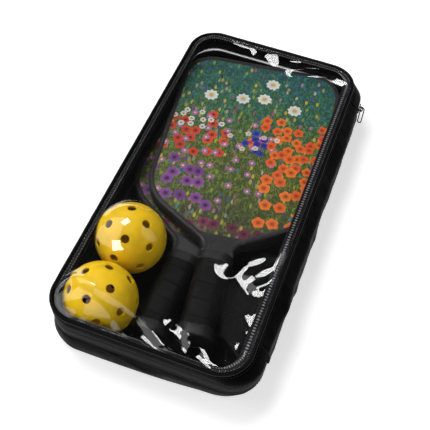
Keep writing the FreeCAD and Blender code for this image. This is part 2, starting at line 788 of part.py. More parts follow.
def make_ball(label, x, y):
    """A hollow shell with rows of round holes, each drilled towards the centre."""
    ball = new_body(label)
    shell = new_sketch(ball, "half_section", "XZ_Plane")
    draw_half_ring(shell, ball_radius - driving("ball_wall"), ball_radius)
    turned = ball.newObject("PartDesign::Revolution", label + "_shell")
    turned.Profile = shell
    turned.ReferenceAxis = (shell, ["V_Axis"])
    turned.Angle = 360
    for row, (rise, count, first) in enumerate(BALL_ROWS):
        sketch = ball.newObject("Sketcher::SketchObject", "%s_row_%d" % (label, row))
        sketch.AttachmentSupport = (origin_feature(ball, "YZ_Plane"), [""])
        sketch.MapMode = "FlatFace"
        facing = (FreeCAD.Rotation(Vector(0, 1, 0), first)
                  * FreeCAD.Rotation(Vector(1, 0, 0), -rise))
        sketch.AttachmentOffset = FreeCAD.Placement(Vector(), facing)
        draw_circle(sketch, driving("ball_hole_share") * ball_radius)
        drill = ball.newObject("PartDesign::Pocket", "%s_drill_%d" % (label, row))
        drill.Profile = sketch
        drill.Reversed = True
        bind(drill, "Length", ball_radius + 1)
        around = ball.newObject("PartDesign::PolarPattern", "%s_holes_%d" % (label, row))
        around.Originals = [drill]
        around.Axis = (origin_feature(ball, "Z_Axis"), [""])
        around.Angle = 360
        around.Occurrences = count
        ball.Tip = around
    place(ball, x, y, ball_z)


def draw_half_ring(sketch, inner, outer):
    """Half a ring, on the +X side of the vertical axis."""
    centre = Vector(0, 0, 0)
    drawn = []
    for radius in (inner, outer):
        arc = Part.ArcOfCircle(Part.Circle(centre, Vector(0, 0, 1), radius.value),
                               -math.pi / 2, math.pi / 2)
        drawn.append(sketch.addGeometry(arc, False))
        sketch.addConstraint(Sketcher.Constraint("Coincident", drawn[-1], 3, -1, 1))
        number = sketch.addConstraint(Sketcher.Constraint("Radius", drawn[-1], radius.value))
        sketch.setExpression("Constraints[%d]" % number, radius.text)
    for end, sign in ((1, -1), (2, 1)):
        line = sketch.addGeometry(Part.LineSegment(
            Vector(0, sign * inner.value, 0), Vector(0, sign * outer.value, 0)), False)
        sketch.addConstraint(Sketcher.Constraint("Coincident", drawn[0], end, line, 1))
        sketch.addConstraint(Sketcher.Constraint("Coincident", drawn[1], end, line, 2))
        sketch.addConstraint(Sketcher.Constraint("PointOnObject", line, 1, -2))
        sketch.addConstraint(Sketcher.Constraint("PointOnObject", line, 2, -2))


# ---------------------------------------------------------------- the whole case

make_tray()
make_cover()
make_slider()
make_pull()
make_paddle("upper_paddle", upper_x, upper_y, upper_centre_z, upper_turn)
make_paddle("lower_paddle", lower_x, lower_y, lower_centre_z, -lower_turn)
make_ball("low_ball", low_ball_x, low_ball_y)
make_ball("high_ball", high_ball_x, high_ball_y)
doc.recompute()

for thing in doc.Objects:
    if "Invalid" in thing.State or "Error" in thing.State:
        raise RuntimeError("%s did not build: %s" % (thing.Label, thing.State))
for body in body_list:
    if body.Shape.isNull() or not body.Shape.isValid():
        raise RuntimeError("%s has no valid shape" % body.Label)

os.makedirs("parts", exist_ok=True)
for body in body_list:
    body.Shape.exportStep("parts/%s.step" % body.Label)

for name, size in (("case", case_width), ("length", case_length), ("hinge x", hinge_x),
                   ("zip height", zip_height), ("slider x", slider_x), ("slider y", slider_y),
                   ("corner centre x", half_width - case_corner),
                   ("bridge x", slider_x + bridge_x), ("ball z", ball_z),
                   ("low ball x", low_ball_x), ("low ball y", low_ball_y),
                   ("high ball x", high_ball_x), ("high ball y", high_ball_y),
                   ("upper paddle x", upper_x), ("upper paddle y", upper_y),
                   ("upper paddle z", upper_centre_z), ("lower paddle x", lower_x),
                   ("lower paddle z", lower_centre_z)):
    print("%-16s %.3f" % (name, size.value))
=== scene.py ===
"""Dresses the soft paddle case over its CAD frame: cloth, film, zip, paddles and balls.

The case lies on its back. X runs across it, Y towards the paddle heads, Z up, in metres.
"""
import json
import math

import bmesh
import bpy
import numpy as np
from bpy.props import FloatProperty, FloatVectorProperty, PointerProperty
from mathutils import Euler, Matrix, Vector, noise


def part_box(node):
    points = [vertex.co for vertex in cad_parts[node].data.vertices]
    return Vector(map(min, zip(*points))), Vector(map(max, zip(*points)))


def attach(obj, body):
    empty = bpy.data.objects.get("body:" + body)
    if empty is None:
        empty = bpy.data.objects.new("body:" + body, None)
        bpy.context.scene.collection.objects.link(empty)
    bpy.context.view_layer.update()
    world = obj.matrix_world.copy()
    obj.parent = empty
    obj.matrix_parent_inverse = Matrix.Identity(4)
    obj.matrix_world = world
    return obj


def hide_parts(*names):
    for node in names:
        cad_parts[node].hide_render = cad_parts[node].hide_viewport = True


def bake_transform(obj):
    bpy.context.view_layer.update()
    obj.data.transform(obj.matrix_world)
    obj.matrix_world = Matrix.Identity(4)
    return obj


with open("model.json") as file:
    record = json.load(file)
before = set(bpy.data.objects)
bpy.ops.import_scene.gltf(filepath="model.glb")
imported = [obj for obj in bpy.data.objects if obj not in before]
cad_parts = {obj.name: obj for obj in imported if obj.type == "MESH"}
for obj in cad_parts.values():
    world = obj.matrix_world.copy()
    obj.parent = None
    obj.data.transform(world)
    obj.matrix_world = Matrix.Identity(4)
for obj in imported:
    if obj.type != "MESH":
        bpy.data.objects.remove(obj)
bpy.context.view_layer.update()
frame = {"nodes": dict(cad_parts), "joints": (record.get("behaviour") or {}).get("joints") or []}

bl_info = {
    "name": "Paddle case dressing",
    "version": (1, 0, 0),
    "blender": (4, 5, 0),
    "location": "View3D > Sidebar > Paddle case",
    "description": "Cloth, film, zip, paddles and balls for a soft paddle case, over its CAD frame",
    "category": "Object",
}

MM = 0.001


def srgb(code):
    """A hex colour as linear red, green and blue."""
    channels = [int(code[i:i + 2], 16) / 255 for i in (0, 2, 4)]
    return tuple(c / 12.92 if c <= 0.04045 else ((c + 0.055) / 1.055) ** 2.4 for c in channels)


# ---------------------------------------------------------------- sizes and colours to change

class CaseSizes(bpy.types.PropertyGroup):
    cloth: FloatProperty(
        name="Cloth", description="Thickness of the gusset cloth",
        default=1.1 * MM, min=0.2 * MM, unit="LENGTH")
    crease: FloatProperty(
        name="Creases", description="Depth of the creases in the gusset cloth",
        default=1.6 * MM, min=0.0, unit="LENGTH")
    film: FloatProperty(
        name="Film", description="Thickness of the clear window",
        default=0.4 * MM, min=0.1 * MM, unit="LENGTH")
    film_sag: FloatProperty(
        name="Film sag", description="How far the middle of the window hangs below its seam",
        default=7.0 * MM, min=0.0, unit="LENGTH")
    stitch: FloatProperty(
        name="Stitch", description="Length of one stitch",
        default=2.4 * MM, min=1.0 * MM, unit="LENGTH")
    thread: FloatProperty(
        name="Thread", description="Spacing of the threads drawn in the cloth",
        default=1.1 * MM, min=0.2 * MM, unit="LENGTH")
    coil_pitch: FloatProperty(
        name="Coil pitch", description="Distance from one turn of the zip's coil to the next",
        default=1.5 * MM, min=0.5 * MM, unit="LENGTH")
    wrap_pitch: FloatProperty(
        name="Wrap pitch", description="Distance between the edges of the handle wrap",
        default=19.0 * MM, min=5.0 * MM, unit="LENGTH")
    hole: FloatProperty(
        name="Ball hole", description="Diameter of each hole in the balls",
        default=9.0 * MM, min=2.0 * MM, unit="LENGTH")


class CaseColours(bpy.types.PropertyGroup):
    cloth: FloatVectorProperty(
        name="Cloth", description="Gussets and back panel", subtype="COLOR",
        default=srgb("050506"), min=0.0, max=1.0)
    binding: FloatVectorProperty(
        name="Seam binding", description="Tape over the seams inside", subtype="COLOR",
        default=srgb("4a4a4c"), min=0.0, max=1.0)
    trim: FloatVectorProperty(
        name="Piping", description="Piping and zip tape", subtype="COLOR",
        default=srgb("08080a"), min=0.0, max=1.0)
    ball: FloatVectorProperty(
        name="Balls", description="Both hole balls", subtype="COLOR",
        default=srgb("f0c406"), min=0.0, max=1.0)
    guard: FloatVectorProperty(
        name="Edge guard", description="Moulded rim of the paddles", subtype="COLOR",
        default=srgb("2c2a2b"), min=0.0, max=1.0)
    grip: FloatVectorProperty(
        name="Grip", description="Wrap of the handles", subtype="COLOR",
        default=srgb("050505"), min=0.0, max=1.0)


# ---------------------------------------------------------------- building helpers

def deselect():
    """Leave edit mode if it is on, and select nothing."""
    if bpy.context.object and bpy.context.object.mode != "OBJECT":
        bpy.ops.object.mode_set(mode="OBJECT")
    bpy.ops.object.select_all(action="DESELECT")


def activate(piece):
    """Select one piece alone and make it the active one."""
    deselect()
    piece.select_set(True)
    bpy.context.view_layer.objects.active = piece


def apply_modifier(piece, kind, **settings):
    """Add a modifier with its settings and apply it."""
    activate(piece)
    modifier = piece.modifiers.new(kind.title(), kind)
    for name, value in settings.items():
        setattr(modifier, name, value)
    bpy.ops.object.modifier_apply(modifier=modifier.name)


def smooth(piece, angle=None):
    """Shade smooth, all over or up to an angle in degrees."""
    activate(piece)
    if angle is None:
        bpy.ops.object.shade_smooth()
    else:
        bpy.ops.object.shade_smooth_by_angle(angle=math.radians(angle))


def bake_place(piece):
    """Put the object's own place into its mesh."""
    activate(piece)
    bpy.ops.object.transform_apply(location=True, rotation=True, scale=True)


def join(pieces, name):
    """Join pieces into one object."""
    activate(pieces[0])
    for piece in pieces:
        piece.select_set(True)
    bpy.ops.object.join()
    joined = bpy.context.object
    joined.name = name
    joined.data.name = name
    return joined


def edit(piece, test=None, mode="FACE"):
    """Enter edit mode with the faces, edges or vertices that pass a test selected."""
    activate(piece)
    bpy.ops.object.mode_set(mode="EDIT")
    bpy.ops.mesh.select_mode(type=mode)
    bpy.ops.mesh.select_all(action="SELECT" if test is None else "DESELECT")
    if test is None:
        return
    mesh = bmesh.from_edit_mesh(piece.data)
    mesh.normal_update()
    for item in {"FACE": mesh.faces, "EDGE": mesh.edges, "VERT": mesh.verts}[mode]:
        if test(item):
            item.select_set(True)
    mesh.select_flush_mode()
    bmesh.update_edit_mesh(piece.data)


def leave_edit():
    bpy.ops.object.mode_set(mode="OBJECT")


def middle(edge):
    """The middle of an edge."""
    return (edge.verts[0].co + edge.verts[1].co) / 2


def along(edge, axis):
    """Whether an edge runs along an axis: 0, 1 or 2."""
    step = edge.verts[0].co - edge.verts[1].co
    return abs(step[axis]) > 0.98 * step.length


def block(name, centre, size):
    """A box primitive at its size and place, with its place in its mesh."""
    deselect()
    bpy.ops.mesh.primitive_cube_add(size=1, location=centre)
    piece = bpy.context.object
    piece.name = name
    piece.data.name = name
    piece.scale = size
    bake_place(piece)
    return piece


def round_edges(piece, test, reach, steps):
    """Bevel the edges that pass a test."""
    edit(piece, test, "EDGE")
    bpy.ops.mesh.bevel(offset=reach, segments=steps, affect="EDGES", clamp_overlap=True)
    leave_edit()


def new_piece(name, points, faces, flat=None):
    """A mesh object; flat holds each point's place on the flat cloth, in metres."""
    mesh = bpy.data.meshes.new(name)
    mesh.from_pydata([tuple(p) for p in points], [], faces)
    if flat is not None:
        layer = mesh.uv_layers.new(name="flat")
        for loop in mesh.loops:
            layer.data[loop.index].uv = flat[loop.vertex_index]
    mesh.validate()
    piece = bpy.data.objects.new(name, mesh)
    bpy.context.scene.collection.objects.link(piece)
    return piece


def skin(name, rows, flat=None, loop_rows=False, loop_columns=False, caps=False):
    """A surface through rows of points, each row from the last one's left to its right."""
    rows = np.asarray(rows, float)
    count, width = rows.shape[:2]
    faces = []
    for i in range(count if loop_rows else count - 1):
        for j in range(width if loop_columns else width - 1):
            a, b = i * width + j, i * width + (j + 1) % width
            c = ((i + 1) % count) * width + (j + 1) % width
            faces.append((a, b, c, ((i + 1) % count) * width + j))
    if caps:
        faces.append(tuple(reversed(range(width))))
        faces.append(tuple(range((count - 1) * width, count * width)))
    places = None if flat is None else np.asarray(flat, float).reshape(-1, 2)
    piece = new_piece(name, rows.reshape(-1, 3), faces, places)
    smooth(piece)
    return piece


def finish_piece(piece, body, material, stands_for=()):
    """Give a finished piece its material and any body, and hide the CAD nodes that it stands for.
    """
    piece.data.materials.clear()
    piece.data.materials.append(material)
    if body:
        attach(piece, body)
    if stands_for:
        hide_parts(*stands_for)
    return piece


# ---------------------------------------------------------------- paths round the case and heads

class Path:
    """A closed or open path of straight runs and arcs, with its outward normals and lengths."""

    def __init__(self, corners, step, closed=True):
        points, normals = [], []
        for i, (x, y, radius) in enumerate(corners):
            here = Vector((x, y))
            before = (Vector(corners[i - 1][:2]) - here).normalized()
            after = (Vector(corners[(i + 1) % len(corners)][:2]) - here).normalized()
            if radius <= 0:
                run = after if i == 0 or closed else -before
                points.append(here)
                normals.append(Vector((run.y, -run.x)))
                continue
            half = before.angle(after) / 2
            centre = here + (before + after).normalized() * (radius / math.sin(half))
            first = here + before * (radius / math.tan(half)) - centre
            swept = math.pi - 2 * half
            side = 1 if (-before).x * after.y - (-before).y * after.x > 0 else -1
            pieces = max(3, math.ceil(radius * swept / step))
            start = math.atan2(first.y, first.x)
            for k in range(pieces + 1):
                angle = start + side * swept * k / pieces
                radial = Vector((math.cos(angle), math.sin(angle)))
                points.append(centre + radial * radius)
                normals.append(radial * side)
        if closed:
            points.append(points[0])
            normals.append(normals[0])
        places, facing = [points[0]], [normals[0]]
        for i in range(1, len(points)):
            gap = (points[i] - points[i - 1]).length
            cuts = max(1, math.ceil(gap / step - 0.01)) if gap > 1e-7 else 0
            for k in range(1, cuts + 1):
                places.append(points[i - 1].lerp(points[i], k / cuts))
                facing.append(normals[i - 1].lerp(normals[i], k / cuts).normalized())
        self.closed = closed
        self.places = np.array([tuple(p) for p in places])
        self.normals = np.array([tuple(n) for n in facing])
        steps = np.linalg.norm(np.diff(self.places, axis=0), axis=1)
        self.lengths = np.concatenate([[0], np.cumsum(steps)])
        self.total = float(self.lengths[-1])

    def at(self, s):
        """Places and outward normals at lengths along the path."""
        s = np.asarray(s, float)
        if self.closed:
            s = np.mod(s, self.total)
        xy = np.stack([np.interp(s, self.lengths, self.places[:, k]) for k in (0, 1)], -1)
        n = np.stack([np.interp(s, self.lengths, self.normals[:, k]) for k in (0, 1)], -1)
        return xy, n / np.linalg.norm(n, axis=-1, keepdims=True)


BASE_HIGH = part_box("back_panel")[1]
PIPING_LOW, PIPING_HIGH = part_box("window_piping")
SPINE_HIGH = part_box("spine_upper")[1]
HALF_WIDTH = BASE_HIGH.x
HALF_LENGTH = BASE_HIGH.y
CORNER = 31 * MM
WALL = 1.6 * MM
LEAN = 12 * MM
LEAN_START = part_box("upper_zip_tape")[1].z
LEAN_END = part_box("upper_gusset")[1].z
SEAM_LEVEL = (PIPING_LOW.z + PIPING_HIGH.z) / 2
PIPING_RADIUS = (PIPING_HIGH.z - PIPING_LOW.z) / 2
SPINE_HALF = SPINE_HIGH.y
HINGE = Vector(frame["joints"][0]["pos_m"])
ZIP_LEVEL = HINGE.z
OUTLINE = Path([(HALF_WIDTH, -HALF_LENGTH, CORNER), (HALF_WIDTH, HALF_LENGTH, CORNER),
                (-HALF_WIDTH, HALF_LENGTH, CORNER), (-HALF_WIDTH, -HALF_LENGTH, CORNER)], 2 * MM)
ARC = CORNER * math.pi / 2
ZIP_START = ARC + (HALF_LENGTH - CORNER) + SPINE_HALF
ZIP_END = OUTLINE.total + ARC + (HALF_LENGTH - CORNER) - SPINE_HALF


# The sag of the handle end: how high it reaches, where it starts and how far it takes to grow
# down the length, and how far its foot draws in across and along the case.
SAG_HEIGHT = 26 * MM
SAG_START = 110 * MM
SAG_GROWTH = 100 * MM
SAG_ACROSS = 20 * MM
SAG_ALONG = 10 * MM


def slump(x, y, z):
    """The half-empty handle end sags: its foot draws in under the zip."""
    low = np.clip((SAG_HEIGHT - z) / SAG_HEIGHT, 0, 1) ** 1.2
    end = np.clip((-y - SAG_START) / SAG_GROWTH, 0, 1)
    share = low * end * end * (3 - 2 * end)
    hinge = np.clip(0.5 + x / (2 * HALF_WIDTH), 0, 1)
    corner = share * hinge ** 3
    return x - SAG_ACROSS * corner, y + SAG_ALONG * corner


def wall(s, z, out=0.0):
    """Points on the case's outer wall: length round the outline, level, and distance outwards."""
    s, z = np.broadcast_arrays(np.asarray(s, float), np.asarray(z, float))
    xy, normal = OUTLINE.at(s)
    lean = np.clip((z - LEAN_START) / (LEAN_END - LEAN_START), 0, 1)
    centre = HALF_WIDTH - CORNER
    share = np.clip((xy[..., 0] + centre) / (2 * centre), 0, 1)
    x = xy[..., 0] - LEAN * lean * share + normal[..., 0] * out
    y = xy[..., 1] + normal[..., 1] * out
    x, y = slump(x, y, z)
    return np.stack([x, y, z], -1)


def rumple(x, y, seed):
    """Smooth noise over the cloth, from -1 to 1."""
    return noise.noise(Vector((x, y, seed * 7.31)))


def creases(s, z, low, high, depth, seed, size=1.0):
    """How far the cloth stands out at a length and level, soft folds between two sewn edges."""
    rise = (z - low) / (high - low)
    held = math.sin(math.pi * min(1, max(0, rise))) ** 0.6
    s, z = s / size, z / size
    long_folds = rumple(s / 0.055 + z / 0.03, z / 0.035, seed)
    short_folds = rumple(s / 0.021 - z / 0.012, z / 0.016, seed + 1)
    ridge = 1 - abs(rumple(s / 0.038 + z / 0.017, z / 0.05, seed + 2)) * 4
    puckers = rumple(s / 0.005, z / 0.02, seed + 3) * 0.12
    return depth * (held * (0.75 * long_folds + 0.4 * short_folds + 0.45 * max(0, ridge))
                    + puckers)


# ---------------------------------------------------------------- materials

def add(tree, kind, inputs=None, stops=(), **properties):
    """Add a node and return its outputs.

    An input is given a value, or the output that feeds it; stops are a ramp's places and colours.
    """
    node = tree.nodes.new("ShaderNode" + kind)
    for name, value in properties.items():
        setattr(node, name, value)
    for socket, value in (inputs or {}).items():
        if isinstance(value, bpy.types.NodeSocket):
            tree.links.new(value, node.inputs[socket])
        else:
            node.inputs[socket].default_value = value
    for count, (place, colour) in enumerate(stops):
        bands = node.color_ramp.elements
        band = bands[count] if count < len(bands) else bands.new(place)
        band.position, band.color = place, colour
    return node.outputs


def new_material(name):
    """An empty material and its node tree."""
    material = bpy.data.materials.new(name)
    material.use_nodes = True
    material.node_tree.nodes.clear()
    return material, material.node_tree


def shade(colour, factor=1.0):
    """A colour made lighter or darker, with the fourth value a shader's socket wants."""
    return (*[min(1.0, c * factor) for c in colour[:3]], 1.0)


def grey(value):
    return (value, value, value, 1.0)


def bands_per_metre(period):
    """The wave texture's scale that repeats every so many metres."""
    return math.pi / 10 / period


def cloth_material(name, colour, thread, roughness, sheen, wear):
    """Woven polyester: a diagonal twill under a fine cross thread, dusty where it is rubbed."""
    material, tree = new_material(name)
    place = add(tree, "UVMap", uv_map="flat")[0]
    twill = add(tree, "TexWave", {"Vector": place, "Scale": bands_per_metre(thread),
                                  "Distortion": 0.6, "Detail": 1.0, "Detail Scale": 2.0},
                bands_direction="DIAGONAL")["Fac"]
    cross = add(tree, "TexWave", {"Vector": place, "Scale": bands_per_metre(thread * 0.7)},
                bands_direction="X")["Fac"]
    weave = add(tree, "Math", {0: twill, 1: cross}, operation="MULTIPLY")[0]
    patches = add(tree, "TexNoise", {"Vector": place, "Scale": 38.0, "Detail": 5.0,
                                     "Roughness": 0.6})[0]
    rubbed = add(tree, "Math", {0: weave, 1: patches}, operation="MULTIPLY")[0]
    base = add(tree, "ValToRGB", {0: rubbed}, [
        (0.0, shade(colour, 0.62)), (0.35, shade(colour)), (0.8, shade(colour, 1.0 + wear))])[0]
    rough = add(tree, "ValToRGB", {0: patches}, [
        (0.3, grey(roughness - 0.08)), (0.7, grey(roughness + 0.1))])[0]
    folds = add(tree, "TexNoise", {"Vector": place, "Scale": 95.0, "Detail": 6.0,
                                   "Roughness": 0.55, "Distortion": 0.8})[0]
    soft = add(tree, "Bump", {"Strength": 0.35, "Distance": 1.4 * MM, "Height": folds})[0]
    fine = add(tree, "Bump", {"Strength": 0.4, "Distance": 0.25 * MM, "Height": weave,
                              "Normal": soft})[0]
    shader = add(tree, "BsdfPrincipled", {
        "IOR": 1.5, "Specular IOR Level": 0.02, "Sheen Weight": sheen, "Sheen Roughness": 0.45,
        "Base Color": base, "Roughness": rough, "Normal": fine})[0]
    add(tree, "OutputMaterial", {"Surface": shader})
    return material


def ribbed_material(name, colour, light, rib, roughness):
    """Grosgrain or tape: ribs across its length, in two shades where the yarns cross."""
    material, tree = new_material(name)
    place = add(tree, "UVMap", uv_map="flat")[0]
    ribs = add(tree, "TexWave", {"Vector": place, "Scale": bands_per_metre(rib),
                                 "Distortion": 2.2, "Detail": 2.0, "Detail Scale": 3.0},
               bands_direction="X")["Fac"]
    yarns = add(tree, "TexWave", {"Vector": place, "Scale": bands_per_metre(rib * 1.6)},
                bands_direction="Y")["Fac"]
    cross = add(tree, "Math", {0: ribs, 1: yarns}, operation="MULTIPLY")[0]
    flecks = add(tree, "TexNoise", {"Vector": place, "Scale": 420.0, "Detail": 3.0,
                                    "Roughness": 0.7})[0]
    mixed = add(tree, "Math", {0: cross, 1: flecks}, operation="MULTIPLY")[0]
    base = add(tree, "ValToRGB", {0: mixed}, [(0.1, shade(colour)), (0.5, shade(light))])[0]
    bump = add(tree, "Bump", {"Strength": 0.5, "Distance": 0.3 * MM, "Height": cross})[0]
    shader = add(tree, "BsdfPrincipled", {
        "IOR": 1.5, "Specular IOR Level": 0.08, "Roughness": roughness, "Sheen Weight": 0.02,
        "Sheen Roughness": 0.5, "Base Color": base, "Normal": bump})[0]
    add(tree, "OutputMaterial", {"Surface": shader})
    return material


def film_material(name):
    """Clear soft PVC film: mirror-smooth, faintly uneven from the rollers, hardly tinted."""
    material, tree = new_material(name)
    place = add(tree, "TexCoord")["Object"]
    ripple = add(tree, "TexNoise", {"Vector": place, "Scale": 26.0, "Detail": 2.0,
                                    "Roughness": 0.45})[0]
    bump = add(tree, "Bump", {"Strength": 0.08, "Distance": 1.2 * MM, "Height": ripple})[0]
    clear = add(tree, "BsdfPrincipled", {
        "Base Color": (0.97, 0.975, 0.975, 1), "Roughness": 0.03, "IOR": 1.5,
        "Transmission Weight": 1.0, "Normal": bump})[0]
    through = add(tree, "BsdfTransparent", {"Color": (0.9, 0.9, 0.9, 1)})[0]
    shadow_ray = add(tree, "LightPath")["Is Shadow Ray"]
    both = add(tree, "MixShader", {0: shadow_ray, 1: clear, 2: through})[0]
    add(tree, "OutputMaterial", {"Surface": both})
    return material


def moulded_material(name, colour, roughness, grain, depth, coat=0.0, spread=0.0, gleam=0.3):
    """Moulded plastic, rubber, foam or enamel: fine grain, its colour and gloss drifting."""
    material, tree = new_material(name)
    place = add(tree, "TexCoord")["Object"]
    specks = add(tree, "TexNoise", {"Vector": place, "Scale": 0.6 / grain, "Detail": 3.0,
                                    "Roughness": 0.6})[0]
    clouds = add(tree, "TexNoise", {"Vector": place, "Scale": 45.0, "Detail": 4.0,
                                    "Roughness": 0.6})[0]
    base = add(tree, "ValToRGB", {0: clouds}, [(0.3, shade(colour, 0.86)),
                                               (0.7, shade(colour, 1.12))])[0]
    rough = add(tree, "ValToRGB", {0: clouds}, [(0.3, grey(roughness - 0.06)),
                                                (0.7, grey(roughness + 0.08))])[0]
    bump = add(tree, "Bump", {"Strength": 0.3, "Distance": depth, "Height": specks})[0]
    shader = add(tree, "BsdfPrincipled", {
        "IOR": 1.5, "Specular IOR Level": gleam, "Coat Weight": coat, "Coat Roughness": 0.15,
        "Subsurface Weight": spread, "Subsurface Radius": (0.004, 0.003, 0.001),
        "Base Color": base, "Roughness": rough, "Normal": bump})[0]
    add(tree, "OutputMaterial", {"Surface": shader})
    return material


# Each drift of flowers on the print: its middle and reach across and down the face, the size of
# a flower and the distance between flowers, its petals and its colours (petal, other petal,
# heart). Lengths are in millimetres from the top of the face.
DRIFTS = (
    ((-52, 135), (46, 36), 12.5, 15.0, 5, "c8341c", "e0501c", "5a1410"),
    ((-35, 150), (85, 60), 8.0, 19.0, 6, "b070a8", "8a5aa0", "e0c060"),
    ((-62, 198), (42, 34), 14.5, 18.0, 6, "6a2f7e", "96509c", "2c1440"),
    ((54, 124), (48, 42), 12.0, 13.0, 5, "e8560e", "f07c14", "9a2c08"),
    ((58, 190), (44, 46), 14.0, 19.0, 5, "e8620e", "f08014", "9a3408"),
    ((-20, 250), (90, 12), 13.0, 15.0, 5, "5c1434", "8c2450", "2a0a1c"),
    ((10, 128), (14, 15), 9.5, 9.8, 4, "1c2a9a", "3444b4", "101850"),
    ((-66, 106), (28, 13), 7.5, 11.0, 7, "dcdcd0", "c8ccc8", "9a7030"),
    ((-8, 58), (84, 28), 16.5, 31.0, 9, "e2e0d6", "d2d6d2", "c09a48"),
    ((0, 118), (40, 20), 7.0, 19.0, 5, "d4d2c4", "cfa0bc", "b89a40"),
)


# The meadow's ground from its top to the throat, in its depths and where light catches it, and
# the dabs of paint over it, each as places along a ramp and their colours.
DEPTHS = ((0.0, "163836"), (0.25, "1f4640"), (0.42, "284826"), (0.62, "36491c"),
          (0.8, "2c3d18"), (1.0, "241f1c"))
LIGHTS = ((0.0, "2f6a6c"), (0.3, "43805c"), (0.55, "7d8426"), (1.0, "5a6020"))
DABS = ((0.0, "122a26"), (0.25, "6f8c28"), (0.45, "b89a28"), (0.6, "2f6f78"),
        (0.75, "24407a"), (0.88, "8f4a70"), (1.0, "a8a684"))


def painted(stops):
    """A ramp's stops with their hex colours made linear."""
    return [(place, shade(srgb(code))) for place, code in stops]


def flowers(tree, place, ground, shift, centre, reach, size, spacing, petals, *colours):
    """Scatter whole flowers of a size over the ground, thickly about a centre."""
    moved = add(tree, "VectorMath", {0: place, 1: (shift, shift * 1.7, 0)}, operation="ADD")[0]
    cells = add(tree, "TexVoronoi", {"Vector": moved, "Scale": 1 / spacing, "Randomness": 0.6},
                voronoi_dimensions="2D")
    from_heart = add(tree, "VectorMath", {0: moved, 1: cells["Position"]},
                     operation="SUBTRACT")[0]
    axes = add(tree, "SeparateXYZ", {0: from_heart})
    chance = add(tree, "SeparateXYZ", {0: cells["Color"]})
    angle = add(tree, "Math", {0: axes[1], 1: axes[0]}, operation="ARCTAN2")[0]
    turned = add(tree, "Math", {0: angle, 1: petals, 2: chance[0]}, operation="MULTIPLY_ADD")[0]
    wave = add(tree, "Math", {0: turned}, operation="COSINE")[0]
    ragged = add(tree, "Math", {0: wave, 1: 0.045 * size / spacing, 2: cells["Distance"]},
                 operation="MULTIPLY_ADD")[0]
    edge = size / spacing / 2
    petal = add(tree, "MapRange", {0: ragged, 1: edge, 2: edge * 0.86},
                interpolation_type="SMOOTHSTEP")[0]
    root = add(tree, "Mapping", {
        "Vector": cells["Position"], "Scale": (1 / reach[0], 1 / reach[1], 0),
        "Location": (-(centre[0] + shift) / reach[0], (centre[1] - shift * 1.7) / reach[1], 0)})[0]
    away = add(tree, "VectorMath", {0: root}, operation="LENGTH")[1]
    luck = add(tree, "Math", {0: chance[1], 1: 0.6, 2: away}, operation="MULTIPLY_ADD")[0]
    here = add(tree, "Math", {0: luck, 1: 1.25}, operation="LESS_THAN")[0]
    share = add(tree, "Math", {0: petal, 1: here}, operation="MULTIPLY")[0]
    first, other, heart = [shade(srgb(code)) for code in colours]
    tint = add(tree, "Mix", {0: chance[2], 6: first, 7: other}, data_type="RGBA")[2]
    from_middle = add(tree, "MapRange", {0: cells["Distance"], 1: 0.0, 2: edge * 1.1})[0]
    lit = add(tree, "Mix", {0: from_middle, 6: shade(first, 0.5), 7: tint}, data_type="RGBA")[2]
    middle_share = add(tree, "MapRange", {0: cells["Distance"], 1: edge * 0.36,
                                          2: edge * 0.28})[0]
    whole = add(tree, "Mix", {0: middle_share, 6: lit, 7: heart}, data_type="RGBA")[2]
    return add(tree, "Mix", {0: share, 6: ground, 7: whole}, data_type="RGBA")[2]


